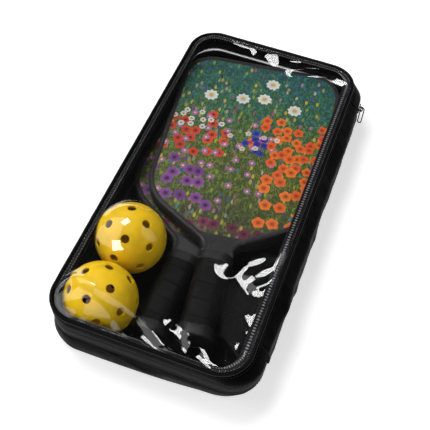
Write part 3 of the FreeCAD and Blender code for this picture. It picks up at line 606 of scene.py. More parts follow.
def print_material(name, origin, turn, neck):
    """A flower meadow printed under a clear satin coat, dabbed on thickly like brushwork."""
    material, tree = new_material(name)
    world = add(tree, "TexCoord")["Object"]
    place = add(tree, "Mapping", {"Vector": world, "Location": origin, "Rotation": (0, 0, turn),
                                  "Scale": (MM, MM, MM)}, vector_type="TEXTURE")[0]
    blades = add(tree, "Mapping", {"Vector": place, "Scale": (1.0, 0.5, 1.0),
                                   "Rotation": (0, 0, 0.3)})[0]
    strokes = add(tree, "TexNoise", {"Vector": blades, "Scale": 0.34, "Detail": 3.0,
                                     "Roughness": 0.65, "Distortion": 1.4},
                  noise_dimensions="2D")[0]
    clumps = add(tree, "TexNoise", {"Vector": place, "Scale": 0.035, "Detail": 3.0,
                                    "Roughness": 0.5}, noise_dimensions="2D")[0]
    axes = add(tree, "SeparateXYZ", {0: place})
    level = add(tree, "Math", {0: clumps, 1: 70.0}, operation="MULTIPLY")[0]
    level = add(tree, "Math", {0: level, 1: axes[1]}, operation="SUBTRACT")[0]
    height = add(tree, "MapRange", {0: level, 1: 20.0, 2: 300.0})[0]
    deep = add(tree, "ValToRGB", {0: height}, painted(DEPTHS))[0]
    light = add(tree, "ValToRGB", {0: height}, painted(LIGHTS))[0]
    lightest = add(tree, "MapRange", {0: strokes, 1: 0.48, 2: 0.62})[0]
    ground = add(tree, "Mix", {0: lightest, 6: deep, 7: light}, data_type="RGBA")[2]
    dabs = add(tree, "TexVoronoi", {"Vector": blades, "Scale": 0.24, "Randomness": 1.0},
               voronoi_dimensions="2D")
    chance = add(tree, "SeparateXYZ", {0: dabs["Color"]})
    dab = add(tree, "MapRange", {0: dabs["Distance"], 1: 0.42, 2: 0.34})[0]
    often = add(tree, "MapRange", {0: chance[0], 1: 0.64, 2: 0.7})[0]
    dab_share = add(tree, "Math", {0: dab, 1: often}, operation="MULTIPLY")[0]
    dab_colour = add(tree, "ValToRGB", {0: chance[1]}, painted(DABS))[0]
    ground = add(tree, "Mix", {0: dab_share, 6: ground, 7: dab_colour}, data_type="RGBA")[2]
    for number, drift in enumerate(DRIFTS):
        ground = flowers(tree, place, ground, 3.0 + 11.3 * number, *drift)
    square = add(tree, "Math", {0: axes[0], 1: axes[0]}, operation="MULTIPLY")[0]
    arch = add(tree, "Math", {0: square, 1: 0.0008, 2: -neck}, operation="MULTIPLY_ADD")[0]
    bare = add(tree, "Math", {0: arch, 1: axes[1]}, operation="GREATER_THAN")[0]
    printed = add(tree, "Mix", {0: bare, 6: ground, 7: shade(srgb("1c1b1d"))},
                  data_type="RGBA")[2]
    thick = add(tree, "Bump", {"Strength": 0.15, "Distance": 0.3 * MM, "Height": strokes})[0]
    shader = add(tree, "BsdfPrincipled", {
        "IOR": 1.5, "Specular IOR Level": 0.3, "Roughness": 0.42, "Coat Weight": 0.08,
        "Coat Roughness": 0.25, "Base Color": printed, "Normal": thick})[0]
    add(tree, "OutputMaterial", {"Surface": shader})
    return material


MATERIALS = {}


def make_materials(sizes, colours):
    """Every finish but the print, by the name that the operators use."""
    cloth, trim, binding = colours.cloth, colours.trim, colours.binding
    # Polyester twill, dyed black: matt with a soft sheen along folds. The real thread is about
    # 0.3 mm, drawn coarser so that it shows.
    MATERIALS["twill"] = cloth_material("polyester_twill", cloth, sizes.thread, 0.45, 0.01, 1.3)
    # Board laminate under the same twill: flatter and more rubbed, as it lies on the ground.
    MATERIALS["panel"] = cloth_material("twill_over_board", shade(cloth, 1.15), sizes.thread,
                                        0.6, 0.015, 1.6)
    # Piping: a cord under bias-cut binding, closely ribbed and slightly shiny along its crown.
    MATERIALS["piping"] = ribbed_material("bias_bound_piping", trim, shade(trim, 3.2),
                                          1.3 * MM, 0.38)
    # Zip tape: polyester herringbone, duller than the piping.
    MATERIALS["tape"] = ribbed_material("herringbone_tape", shade(trim, 1.1), shade(trim, 2.6),
                                        1.0 * MM, 0.62)
    # Binding over the seam inside: grey non-woven tape with a salt-and-pepper fleck.
    MATERIALS["binding"] = ribbed_material("flecked_binding", shade(binding, 0.2),
                                           shade(binding, 5.0), 3.2 * MM, 0.7)
    MATERIALS["film"] = film_material("clear_pvc_film")
    # The moulded ones: colour, roughness, the size and depth of the grain in millimetres, then
    # any clear coat, light spread under the skin and gleam.
    for key, name, colour, roughness, grain, depth, more in (
            # Polyester thread, slightly lighter than the cloth.
            ("stitch", "sewing_thread", srgb("2c2c2f"), 0.5, 0.4, 0.1, {}),
            # Nylon monofilament coil: smooth, with a small sharp gleam on each turn.
            ("coil", "nylon_coil", srgb("141416"), 0.3, 0.3, 0.05, {"coat": 0.2}),
            # Die-cast zinc under black enamel: satin, so that its highlights stay soft.
            ("metal", "enamelled_zinc", srgb("0e0e0f"), 0.42, 0.5, 0.04, {"gleam": 0.1}),
            # Thermoplastic edge guard: satin, charcoal, scuffed.
            ("guard", "moulded_edge_guard", colours.guard, 0.5, 0.5, 0.08,
             {"coat": 0.05, "gleam": 0.2}),
            # Polyurethane wrap with a dry, faintly grained surface.
            ("grip", "polyurethane_wrap", colours.grip, 0.6, 0.8, 0.25, {"gleam": 0.12}),
            # Natural rubber band: dull black.
            ("band", "rubber_band", srgb("111112"), 0.6, 0.6, 0.1, {}),
            # Moulded ABS butt cap: satin black.
            ("cap", "abs_cap", srgb("18181a"), 0.34, 0.4, 0.06, {"coat": 0.03, "gleam": 0.2}),
            # EVA foam under the wrap: fine open cells.
            ("foam", "eva_foam", srgb("26262a"), 0.85, 0.9, 0.3, {}),
            # Polypropylene honeycomb slab, seen only where a paddle is taken apart.
            ("core", "polypropylene_slab", srgb("c9c8be"), 0.5, 4.0, 0.4, {"spread": 0.1}),
            # Rotomoulded polyethylene ball: waxy yellow, a little light bleeding under its skin.
            ("ball", "polyethylene_shell", colours.ball, 0.55, 0.7, 0.06, {"spread": 0.12})):
        MATERIALS[key] = moulded_material(name, colour, roughness, grain * MM, depth * MM, **more)


def case_settings(context):
    return context.scene.case_sizes, context.scene.case_colours


# ---------------------------------------------------------------- cloth

def cloth_wall(name, start, end, low, high, sizes, seed, depth=None, bulge=0.0, size=1.0):
    """A band of gusset cloth between two levels, sewn along both edges and loose between."""
    depth = sizes.crease if depth is None else depth
    columns = int((end - start) / (2.2 * MM))
    levels = max(6, int((high - low) / (2.0 * MM)))
    rows, flat = [], []
    for i in range(levels + 1):
        z = low + (high - low) * i / levels
        s = np.linspace(start, end, columns + 1)
        out = np.array([creases(a, z, low, high, depth, seed, size) for a in s])
        out = out + bulge * math.sin(math.pi * i / levels)
        rows.append(wall(s, z, out))
        flat.append(np.stack([s, np.full_like(s, z)], -1))
    piece = skin(name, rows, flat)
    apply_modifier(piece, "SOLIDIFY", thickness=sizes.cloth, offset=-1.0)
    return piece


def stitch_rows(name, runs, sizes):
    """Rows of stitches; each run is (lengths from and to, level, distance outwards)."""
    points, faces = [], []
    half_thick = 0.2 * MM
    for start, end, level, out in runs:
        pitch = sizes.stitch * 1.35
        for k in range(int((end - start) / pitch)):
            s = start + pitch * (k + 0.2)
            for share, rise in ((0.0, -0.2), (0.25, 0.3), (0.75, 0.3), (1.0, -0.2)):
                centre = s + sizes.stitch * share
                here = wall([centre] * 3, [level - half_thick, level, level + half_thick],
                            [out, out + rise * MM + half_thick, out])
                points.extend(here)
            first = len(points) - 12
            for j in range(3):
                a = first + 3 * j
                faces.append((a, a + 3, a + 4, a + 1))
                faces.append((a + 1, a + 4, a + 5, a + 2))
                faces.append((a + 2, a + 5, a + 3, a))
            faces.append((first, first + 1, first + 2))
            faces.append((first + 11, first + 10, first + 9))
    piece = new_piece(name, points, faces)
    smooth(piece)
    return piece


class CASE_OT_back_panel(bpy.types.Operator):
    """Board under twill, rounded along its rim and quilted lightly by its seam"""
    bl_idname = "case.back_panel"
    bl_label = "Back panel"

    def execute(self, context):
        top = BASE_HIGH.z
        inner = np.linspace(0, OUTLINE.total, 481)[:-1]
        # Each ring is how far in from the outline, and its level, in millimetres.
        rings = [(60, 2.0), (14, 2.0), (6, 1.7), (2.2, 2.0), (0.8, 1.9), (0.2, 1.4), (0.0, 1.0),
                 (0.2, 0.55), (0.8, 0.12), (2.2, 0.0), (6, 0.35), (14, 0.0), (60, 0.0)]
        rows, flat = [], []
        xy, normal = OUTLINE.at(inner)
        for inset, level in rings:
            z = np.full(len(inner), level * MM)
            if 0.3 < level < 1.8 and inset < 1:
                z = z + np.array([rumple(s / 0.006, level, 5) for s in inner]) * 0.1 * MM
            if inset > CORNER / MM - 1:
                share = 1 - inset * MM / HALF_WIDTH
                place = xy * share
            else:
                place = xy - normal * inset * MM
            x, y = slump(place[:, 0], place[:, 1], z)
            rows.append(np.stack([x, y, np.clip(z, 0, top)], -1))
            flat.append(place)
        panel = skin("back_panel_cloth", rows, flat, loop_columns=True, caps=True)
        finish_piece(panel, "tray", MATERIALS["panel"], ["back_panel"])
        return {"FINISHED"}


class CASE_OT_gussets(bpy.types.Operator):
    """Gusset cloth below and above the zip"""
    bl_idname = "case.gussets"
    bl_label = "Gussets"

    def execute(self, context):
        sizes = context.scene.case_sizes
        low, high = (corner.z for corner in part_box("lower_gusset"))
        lower = cloth_wall("lower_gusset_cloth", ZIP_START, ZIP_END, low - 0.6 * MM,
                           high + 0.6 * MM, sizes, 1, bulge=1.2 * MM, size=1.4)
        finish_piece(lower, "tray", MATERIALS["twill"], ["lower_gusset"])
        low, high = (corner.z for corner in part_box("upper_gusset"))
        upper = cloth_wall("upper_gusset_cloth", ZIP_START, ZIP_END, low - 0.6 * MM, high,
                           sizes, 9, depth=sizes.crease * 0.6, bulge=0.8 * MM)
        finish_piece(upper, "cover", MATERIALS["twill"], ["upper_gusset"])
        return {"FINISHED"}


class CASE_OT_spine(bpy.types.Operator):
    """The gusset down the hinge side: one cloth in place of its lower and upper halves"""
    bl_idname = "case.spine"
    bl_label = "Hinge gusset"

    def execute(self, context):
        sizes = context.scene.case_sizes
        low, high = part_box("spine_lower")[0].z, SPINE_HIGH.z
        start = ARC + (HALF_LENGTH - CORNER) - SPINE_HALF
        end = start + 2 * SPINE_HALF
        spine = cloth_wall("hinge_gusset_cloth", start, end, low - 0.5 * MM, high, sizes, 17,
                           depth=sizes.crease * 2.1, bulge=1.0 * MM, size=1.7)
        finish_piece(spine, None, MATERIALS["twill"],
                     ["spine_lower", "spine_upper"])
        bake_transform(spine)
        return {"FINISHED"}


def tube_round(name, path_s, centre_out, level, radius, sides, wander=None):
    """A round cord following the case's outline, with an optional wander of its own."""
    centres = wall(path_s, level, centre_out)
    normal = OUTLINE.at(path_s)[1]
    rows, flat = [], []
    for k in range(sides):
        angle = 2 * math.pi * k / sides
        swell = np.ones(len(path_s)) if wander is None else 1 + wander
        reach = radius * math.cos(angle) * swell
        row = centres.copy()
        row[:, 0] += normal[:, 0] * reach
        row[:, 1] += normal[:, 1] * reach
        row[:, 2] += radius * math.sin(angle) * swell
        rows.append(row)
        flat.append(np.stack([path_s, np.full(len(path_s), radius * angle)], -1))
    return skin(name, rows, flat, loop_rows=True, loop_columns=True)


class CASE_OT_piping(bpy.types.Operator):
    """Piping round the window: a cord under binding, with a row of stitches at its foot"""
    bl_idname = "case.piping"
    bl_label = "Piping"

    def execute(self, context):
        sizes = context.scene.case_sizes
        s = np.linspace(0, OUTLINE.total, 721)[:-1]
        swell = np.array([rumple(a / 0.012, 0.3, 3) for a in s]) * 0.1
        cord = tube_round("window_piping_cord", s, -WALL / 2, SEAM_LEVEL, PIPING_RADIUS * 0.97,
                          12, swell)
        finish_piece(cord, "cover", MATERIALS["piping"], ["window_piping"])
        foot = LEAN_END - 1.6 * MM
        stitches = stitch_rows("piping_stitches", [(0, OUTLINE.total, foot, 0.9 * MM)], sizes)
        finish_piece(stitches, "cover", MATERIALS["stitch"])
        return {"FINISHED"}


def ribbon(name, s, inner, outer, level_inner, level_outer, thickness):
    """A tape lying between two distances inside the wall."""
    rows, flat = [], []
    for k in range(5):
        share = k / 4
        out = -(outer + (inner - outer) * share)
        level = level_outer + (level_inner - level_outer) * share
        rows.append(wall(s, LEAN_END, out) + np.array([0, 0, level - LEAN_END]))
        flat.append(np.stack([s, np.full(len(s), -out)], -1))
    piece = skin(name, rows, flat, loop_columns=True)
    apply_modifier(piece, "SOLIDIFY", thickness=thickness, offset=0.0)
    return piece


class CASE_OT_bindings(bpy.types.Operator):
    """Tape over the seams inside, round the window and round the foot of the gusset"""
    bl_idname = "case.bindings"
    bl_label = "Seam bindings"

    def execute(self, context):
        s = np.linspace(0, OUTLINE.total, 481)[:-1]
        normal = OUTLINE.at(s)[1]
        near, far, foot = 3.1 * MM, 8.5 * MM, 59.5 * MM
        wide = np.clip(normal[:, 0], 0, 1) ** 2
        reach = near + 4.0 * MM + (far - 4.0 * MM) * wide
        window = ribbon("window_seam_tape", s, reach, near, foot, foot + 0.1 * MM, 0.6 * MM)
        finish_piece(window, "cover", MATERIALS["binding"], ["window_binding"])
        low, high = (corner.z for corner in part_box("base_binding"))
        rows = [wall(s, low + (high - low) * k / 4, -WALL - 0.4 * MM) for k in range(5)]
        flat = [np.stack([s, np.full(len(s), k * 1.75 * MM)], -1) for k in range(5)]
        base = skin("base_seam_tape", rows, flat, loop_columns=True)
        apply_modifier(base, "SOLIDIFY", thickness=0.7 * MM, offset=0.0)
        finish_piece(base, "tray", MATERIALS["binding"], ["base_binding"])
        return {"FINISHED"}


# ---------------------------------------------------------------- film

# How far each paddle is turned, and how far the upper handle runs across for each length along.
UPPER_TURN, LOWER_TURN = math.radians(7.6), math.radians(-1.0)
HANDLE_SLOPE = 0.133
BALLS = ("low_ball", "high_ball")
# The window inside its piping, which leans in on the folding side.
WINDOW_INSET = PIPING_RADIUS + WALL / 2
WINDOW_LEFT, WINDOW_RIGHT = -HALF_WIDTH + WINDOW_INSET, HALF_WIDTH - LEAN - WINDOW_INSET
WINDOW_END = HALF_LENGTH - WINDOW_INSET


def film_grid(columns, rows):
    """Places on the rounded window, evenly spaced, drawn in at its corners."""
    corner = CORNER - WINDOW_INSET
    x, y = np.meshgrid(np.linspace(WINDOW_LEFT, WINDOW_RIGHT, columns),
                       np.linspace(-WINDOW_END, WINDOW_END, rows))
    centre = (WINDOW_LEFT + WINDOW_RIGHT) / 2
    u = (np.abs(x - centre) - ((WINDOW_RIGHT - WINDOW_LEFT) / 2 - corner)) / corner
    v = (np.abs(y) - (WINDOW_END - corner)) / corner
    bent = (u > 0) & (v > 0)
    u_in, v_in = np.where(bent, u, 0), np.where(bent, v, 0)
    pull_x = corner * (u_in - u_in * np.sqrt(1 - v_in ** 2 / 2))
    pull_y = corner * (v_in - v_in * np.sqrt(1 - u_in ** 2 / 2))
    return x - np.sign(x - centre) * pull_x, y - np.sign(y) * pull_y


def ball_centre(node):
    """A ball's middle and radius."""
    low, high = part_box(node)
    return (low + high) / 2, (high.z - low.z) / 2


def ball_dome(node, x, y, gap):
    """How high a ball with a gap over it stands at places across the case; 0 beside it."""
    centre, radius = ball_centre(node)
    over = (radius + gap) ** 2 - (x - centre.x) ** 2 - (y - centre.y) ** 2
    return np.where(over > 0, centre.z + np.sqrt(np.maximum(over, 0)), 0)


def handle_line():
    """Where the upper paddle's handle lies: its cap's middle and its top."""
    low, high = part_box("upper_paddle_butt_cap")
    return (low + high) / 2, high.z


def film_start(sizes, x, y):
    """The window as a skin stretched over what is under it and hanging between."""
    rest = np.full(x.shape, SEAM_LEVEL + 0.3 * MM)
    floor = np.full(x.shape, 0.0)
    for node in BALLS:
        floor = np.maximum(floor, ball_dome(node, x, y, 0.5 * MM))
    cap, top = handle_line()
    from_line = np.abs(x - cap.x + (y - cap.y) * HANDLE_SLOPE)
    near = (from_line < 19 * MM) & (y > cap.y - 6 * MM) & (y < -68 * MM)
    floor = np.maximum(floor, np.where(near, top + 0.6 * MM, 0))
    z = np.maximum(rest, floor)
    z[0, :], z[-1, :], z[:, 0], z[:, -1] = (rest[0, 0],) * 4
    pull = sizes.film_sag / (x.shape[1] ** 2) * 6.5
    for _ in range(2600):
        mean = (z[:-2, 1:-1] + z[2:, 1:-1] + z[1:-1, :-2] + z[1:-1, 2:]) / 4
        z[1:-1, 1:-1] = np.maximum(mean - pull, floor[1:-1, 1:-1])
    return z


# Folds that the film keeps from being packed: the line each follows in millimetres across and
# along the case, its height and its width.
FILM_FOLDS = [
    ([(-102, -184), (-90, -171), (-63, -176), (-36, -177), (-17, -180), (-2, -189), (17, -201)],
     4.2, 4.2),
    ([(-88, -192), (-60, -187), (-38, -191), (-20, -203)], 2.2, 3.6),
    ([(40, -92), (62, -76), (92, -60)], 3.4, 8.0),
    ([(92, -62), (82, -84), (66, -98)], 2.0, 6.0),
    ([(76, -108), (90, -94)], 2.0, 4.5),
    ([(12, -172), (32, -179), (46, -162)], 2.4, 4.5),
    ([(32, -179), (38, -192)], 2.0, 4.0),
    ([(36, -188), (50, -192), (66, -204)], 2.2, 3.6),
    ([(46, -184), (62, -192), (78, -206)], 2.2, 3.6),
    ([(56, -180), (74, -190), (86, -200)], 1.8, 3.4),
    ([(90, -200), (89, -180), (92, -158)], 1.8, 3.6),
    ([(20, 190), (40, 197), (60, 200)], 1.8, 4.0),
    ([(74, 193), (88, 188), (92, 176)], 1.8, 4.0),
    ([(-101, 150), (-99, 172), (-88, 192)], 1.8, 4.0),
    ([(-101, -60), (-97, 0), (-101, 60)], 1.2, 3.5),
]


def crumple(film):
    """Raise the folds, and pucker the film where it is drawn in by its seam."""
    co = np.zeros(len(film.data.vertices) * 3)
    film.data.vertices.foreach_get("co", co)
    co = co.reshape(-1, 3)
    edge = np.minimum(np.minimum(co[:, 0] - WINDOW_LEFT, WINDOW_RIGHT - co[:, 0]),
                      WINDOW_END - np.abs(co[:, 1])) / MM
    free = np.clip(edge / 5, 0, 1)
    for line, height, width in FILM_FOLDS:
        nearest = np.full(len(co), np.inf)
        for (x1, y1), (x2, y2) in zip(line, line[1:]):
            first, run = np.array([x1, y1]) * MM, np.array([x2 - x1, y2 - y1]) * MM
            t = np.clip(((co[:, :2] - first) @ run) / (run @ run), 0, 1)
            away = np.linalg.norm(co[:, :2] - first - t[:, None] * run, axis=1)
            nearest = np.minimum(nearest, away)
        co[:, 2] += height * MM * np.exp(-(nearest / (width * MM)) ** 2 / 2) * free
    pucker = np.array([rumple(x / 0.02, y / 0.02, 31) for x, y, z in co])
    slack = np.exp(-edge / 16) * free
    broad = np.array([rumple(x / 0.07, y / 0.05, 37) for x, y, z in co])
    co[:, 2] += (pucker * 1.2 * slack + broad * 1.0 * free) * MM
    for node in BALLS:
        co[:, 2] = np.maximum(co[:, 2], ball_dome(node, co[:, 0], co[:, 1], 0.45 * MM))
    film.data.vertices.foreach_set("co", co.ravel())
    film.data.update()


class CASE_OT_film(bpy.types.Operator):
    """The clear window, laid over the balls and hanging between them and the piping"""
    bl_idname = "case.film"
    bl_label = "Window film"

    def execute(self, context):
        sizes = context.scene.case_sizes
        columns, rows = 36, 76
        x, y = film_grid(columns, rows)
        z = film_start(sizes, x, y)
        points = np.stack([x, y, z], -1)
        film = skin("window_film_sheet", points, np.stack([x, y], -1))
        drape(film, columns, rows)
        apply_modifier(film, "SUBSURF", levels=2, render_levels=2)
        crumple(film)
        apply_modifier(film, "SOLIDIFY", thickness=sizes.film, offset=0.0)
        smooth(film)
        finish_piece(film, "cover", MATERIALS["film"], ["window_film"])
        return {"FINISHED"}


# The film as cloth at its larger scale: stiff against stretching, slow to bend, sewn in.
CLOTH_SCALE = 10.0
CLOTH_FRAMES = 36
CLOTH_SETTINGS = {"quality": 8, "mass": 0.35, "tension_stiffness": 40, "shear_stiffness": 15,
                  "compression_stiffness": 40, "bending_stiffness": 40.0, "air_damping": 2.0,
                  "vertex_group_mass": "seam", "shrink_min": 0.0}


def drape(film, columns, rows):
    """Let the film slacken and crumple over the balls and the handle, ten times full size."""
    scale = CLOTH_SCALE
    film.data.transform(Matrix.Scale(scale, 4))
    solids = []
    for node in BALLS:
        centre, radius = ball_centre(node)
        deselect()
        bpy.ops.mesh.primitive_uv_sphere_add(segments=48, ring_count=24,
                                             radius=(radius + 0.2 * MM) * scale,
                                             location=centre * scale)
        solids.append(bpy.context.object)
    cap, top = handle_line()
    reach = 49 * MM
    handle = block("handle_proxy", (0, 0, 0), Vector((36, 110, 30)) * MM * scale)
    handle.rotation_euler.z = UPPER_TURN
    handle.location = Vector((cap.x - reach * HANDLE_SLOPE, cap.y + reach, top - 15 * MM)) * scale
    solids.append(handle)
    for solid in solids:
        solid.modifiers.new("Collision", "COLLISION")
        solid.collision.thickness_outer = 0.004
        solid.collision.cloth_friction = 8
    edge = film.vertex_groups.new(name="seam")
    for i in range(rows):
        for j in range(columns):
            if i in (0, rows - 1) or j in (0, columns - 1):
                edge.add([i * columns + j], 1.0, "REPLACE")
    cloth = film.modifiers.new("Cloth", "CLOTH")
    for name, value in CLOTH_SETTINGS.items():
        setattr(cloth.settings, name, value)
    cloth.collision_settings.distance_min = 0.006
    cloth.collision_settings.use_self_collision = False
    scene = bpy.context.scene
    cloth.point_cache.frame_start = 1
    cloth.point_cache.frame_end = CLOTH_FRAMES + 4
    for number in range(1, CLOTH_FRAMES + 1):
        scene.frame_set(number)
    activate(film)
    bpy.ops.object.modifier_apply(modifier=cloth.name)
    film.vertex_groups.clear()
    film.data.transform(Matrix.Scale(1 / scale, 4))
    for solid in solids:
        bpy.data.objects.remove(solid)
    scene.frame_set(1)


# ---------------------------------------------------------------- zip

def coil_turns(name, start, end, low, high, sizes, lean):
    """Turns of the zip's coil: small flattened loops standing on their tape."""
    points, faces = [], []
    half = sizes.coil_pitch * 0.36
    middle_z, half_z = (low + high) / 2, (high - low) / 2
    ring = [(-1, -0.55), (-0.6, -1), (0.6, -1), (1, -0.55), (1, 0.55), (0.6, 1), (-0.6, 1),
            (-1, 0.55)]
    count = int((end - start) / sizes.coil_pitch)
    for k in range(count):
        s = start + (k + 0.5) * sizes.coil_pitch
        first = len(points)
        for out, size in ((-1.5, 0.55), (-0.9, 1.0), (-0.2, 1.0), (0.15, 0.5)):
            spots = [s + half * size * a + lean * b * half for a, b in ring]
            levels = [middle_z + half_z * size * b for a, b in ring]
            points.extend(wall(spots, levels, out * MM))
        for r in range(3):
            for j in range(8):
                a, b = first + r * 8 + j, first + r * 8 + (j + 1) % 8
                faces.append((a, b, b + 8, a + 8))
        faces.append(tuple(first + 24 + j for j in range(8)))
        faces.append(tuple(first + j for j in reversed(range(8))))
    piece = new_piece(name, points, faces)
    edit(piece)
    bpy.ops.mesh.normals_make_consistent(inside=False)
    leave_edit()
    smooth(piece)
    return piece


def zip_tape(name, node, body):
    """One side's tape, slightly waved where the coil and the seam hold it."""
    low, high = (corner.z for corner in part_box(node))
    s = np.linspace(ZIP_START, ZIP_END, 481)
    rows, flat = [], []
    for k in range(7):
        z = low + (high - low) * k / 6
        wave = np.array([rumple(a / 0.03, z / 0.01, 21) for a in s]) * 0.25 * MM
        wave = wave * math.sin(math.pi * k / 6)
        rows.append(wall(s, z, -WALL / 2 + 0.3 * MM + wave))
        flat.append(np.stack([s, np.full(len(s), z)], -1))
    piece = skin(name, rows, flat)
    apply_modifier(piece, "SOLIDIFY", thickness=0.7 * MM, offset=0.0)
    return finish_piece(piece, body, MATERIALS["tape"], [node])


class CASE_OT_zip(bpy.types.Operator):
    """Both zip tapes with their coils, stitches and end stops"""
    bl_idname = "case.zip"
    bl_label = "Zip"

    def execute(self, context):
        sizes = context.scene.case_sizes
        zip_tape("lower_tape", "lower_zip_tape", "tray")
        zip_tape("upper_tape", "upper_zip_tape", "cover")
        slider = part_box("zip_slider")
        gap_start = ZIP_START + (slider[0].y - SPINE_HALF) - 0.5 * MM
        gap_end = gap_start + (slider[1].y - slider[0].y) + 1.0 * MM
        low, high = (corner.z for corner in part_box("lower_zip_coil"))
        first, last = ZIP_START + 4 * MM, ZIP_END - 4 * MM
        lower = coil_turns("lower_coil", first, last, low, high, sizes, 0.5)
        finish_piece(lower, "tray", MATERIALS["coil"], ["lower_zip_coil"])
        low, high = (corner.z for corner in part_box("upper_zip_coil"))
        before = coil_turns("upper_coil", first, gap_start, low, high, sizes, -0.5)
        after = coil_turns("upper_coil_rest", gap_end, last, low, high, sizes, -0.5)
        upper = join([before, after], "upper_coil")
        finish_piece(upper, "cover", MATERIALS["coil"], ["upper_zip_coil"])
        tray_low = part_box("lower_zip_tape")
        cover_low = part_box("upper_zip_tape")
        for name, body, levels in (
                ("tray_stitches", "tray", (tray_low[0].z - 0.2 * MM, tray_low[0].z + 2.6 * MM)),
                ("cover_stitches", "cover", (cover_low[1].z + 0.2 * MM,
                                             cover_low[1].z - 2.6 * MM))):
            runs = [(ZIP_START, ZIP_END, level, -0.1 * MM) for level in levels]
            rows = stitch_rows(name, runs, sizes)
            finish_piece(rows, body, MATERIALS["stitch"])
        for node in ("zip_top_stop", "zip_bottom_stop"):
            low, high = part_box(node)
            stop = block(node + "_crimp", (low + high) / 2, high - low)
            round_edges(stop, lambda e: True, 0.22 * MM, 3)
            edit(stop, lambda f: f.normal.x > 0.95 and f.calc_area() > 2e-6)
            bpy.ops.mesh.inset(thickness=0.35 * MM, depth=-0.15 * MM)
            leave_edit()
            smooth(stop, 35)
            finish_piece(stop, "tray", MATERIALS["metal"], [node])
        return {"FINISHED"}


class CASE_OT_slider(bpy.types.Operator):
    """The zip's slider: two plates, the post between them and the bridge"""
    bl_idname = "case.slider"
    bl_label = "Slider"

    def execute(self, context):
        low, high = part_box("zip_slider")
        centre = Vector((HALF_WIDTH - WALL / 2, (low.y + high.y) / 2, ZIP_LEVEL))
        long, tall = high.y - low.y, high.z - low.z
        plate = 1.1 * MM
        outer_x = 1.35 * MM + plate / 2
        inner_x = -1.7 * MM - plate / 2
        plates = []
        for name, x, side in (("outer", outer_x, 1), ("inner", inner_x, -1)):
            piece = block(name, centre + Vector((x, 0, 0)), (plate, long, tall))
            round_edges(piece, lambda e: along(e, 0), 2.8 * MM, 6)
            edit(piece, lambda f: f.normal.x * side > 0.95)
            bpy.ops.mesh.bevel(offset=0.3 * MM, segments=3, affect="EDGES")
            leave_edit()
            edit(piece, lambda f: f.normal.x * side > 0.95 and f.calc_area() > 2e-5)
            bpy.ops.mesh.inset(thickness=0.9 * MM, depth=0)
            bpy.ops.mesh.inset(thickness=0.25 * MM, depth=-0.2 * MM)
            leave_edit()
            plates.append(piece)
        post = block("post", centre + Vector((-0.1 * MM, -2.5 * MM, 0)),
                     (3.4 * MM, 3.0 * MM, 0.7 * MM))
        round_edges(post, lambda e: along(e, 0), 0.2 * MM, 2)
        base = 2.45 * MM
        bridge = block("bridge", centre + Vector((base + 1.9 * MM, 0, 0)),
                       (4.0 * MM, 7.0 * MM, 2.2 * MM))
        round_edges(bridge, lambda e: along(e, 2) and middle(e).x > centre.x + base, 1.9 * MM, 6)
        eye = block("eye", centre + Vector((base + 1.3 * MM, 0, 0)),
                    (3.0 * MM, 4.8 * MM, 4.0 * MM))
        round_edges(eye, lambda e: along(e, 2) and middle(e).x > centre.x + base, 0.9 * MM, 4)
        apply_modifier(bridge, "BOOLEAN", operation="DIFFERENCE", object=eye, solver="EXACT")
        bpy.data.objects.remove(eye)
        apply_modifier(bridge, "BEVEL", width=0.25 * MM, segments=2, limit_method="ANGLE",
                       angle_limit=math.radians(50))
        slider = join([*plates, post, bridge], "slider_body")
        smooth(slider, 40)
        finish_piece(slider, "slider", MATERIALS["metal"], ["zip_slider"])
        return {"FINISHED"}


class CASE_OT_pull(bpy.types.Operator):
    """The slider's pull: a ring drawn out into a long wire loop"""
    bl_idname = "case.pull"
    bl_label = "Pull"

    def execute(self, context):
        low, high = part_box("zip_pull")
        wire = high.y - low.y
        half = (high.x - low.x) / 2
        top = Vector(((low.x + high.x) / 2, (low.y + high.y) / 2, high.z - half))
        deselect()
        bpy.ops.mesh.primitive_torus_add(major_segments=40, minor_segments=14,
                                         major_radius=half - wire / 2, minor_radius=wire / 2,
                                         location=top, rotation=(math.pi / 2, 0, 0))
        pull = bpy.context.object
        pull.name = "pull_loop"
        bake_place(pull)
        edit(pull, lambda v: v.co.z < top.z - 0.05 * MM, "VERT")
        bpy.ops.transform.translate(value=(0, 0, -(high.z - low.z - 2 * half)))
        leave_edit()
        edit(pull, lambda v: v.co.z < low.z + 2 * half, "VERT")
        bpy.ops.transform.resize(value=(1.0, 1.12, 1.0), center_override=top)
        leave_edit()
        smooth(pull)
        finish_piece(pull, "pull", MATERIALS["metal"], ["zip_pull"])
        return {"FINISHED"}


# ---------------------------------------------------------------- paddles

# The paddle's outline in millimetres: half widths, corner radii and distances down from its top.
PADDLE = {"half": 93.8, "corner": 34.8, "shoulder": 56.0, "throat": 14.0, "slope": 32.0,
          "neck": 15.9, "head": 266.0, "length": 376.0}
# The handle's section: half its width and depth and its corners in millimetres, and the power
# that squares its curve.
HANDLE = (17.5, 13.5, 12.0)
HANDLE_POWER = 0.62


def head_path(grow, end):
    """The paddle head's outline in millimetres from its top edge, brought out or in."""
    slope = math.radians(PADDLE["slope"])
    fall = grow / math.cos(slope) - grow * math.tan(slope)
    shoulder = PADDLE["head"] - (PADDLE["half"] - PADDLE["neck"]) * math.tan(slope)
    right = [(PADDLE["neck"] + grow, -end, 0),
             (PADDLE["neck"] + grow, -PADDLE["head"] - fall, PADDLE["throat"] - grow),
             (PADDLE["half"] + grow, -shoulder - fall, PADDLE["shoulder"] + grow),
             (PADDLE["half"] + grow, grow - 1.2, PADDLE["corner"] + grow)]
    left = [(-x, y, radius) for x, y, radius in reversed(right)]
    return Path(right + left, 3.0, closed=False)


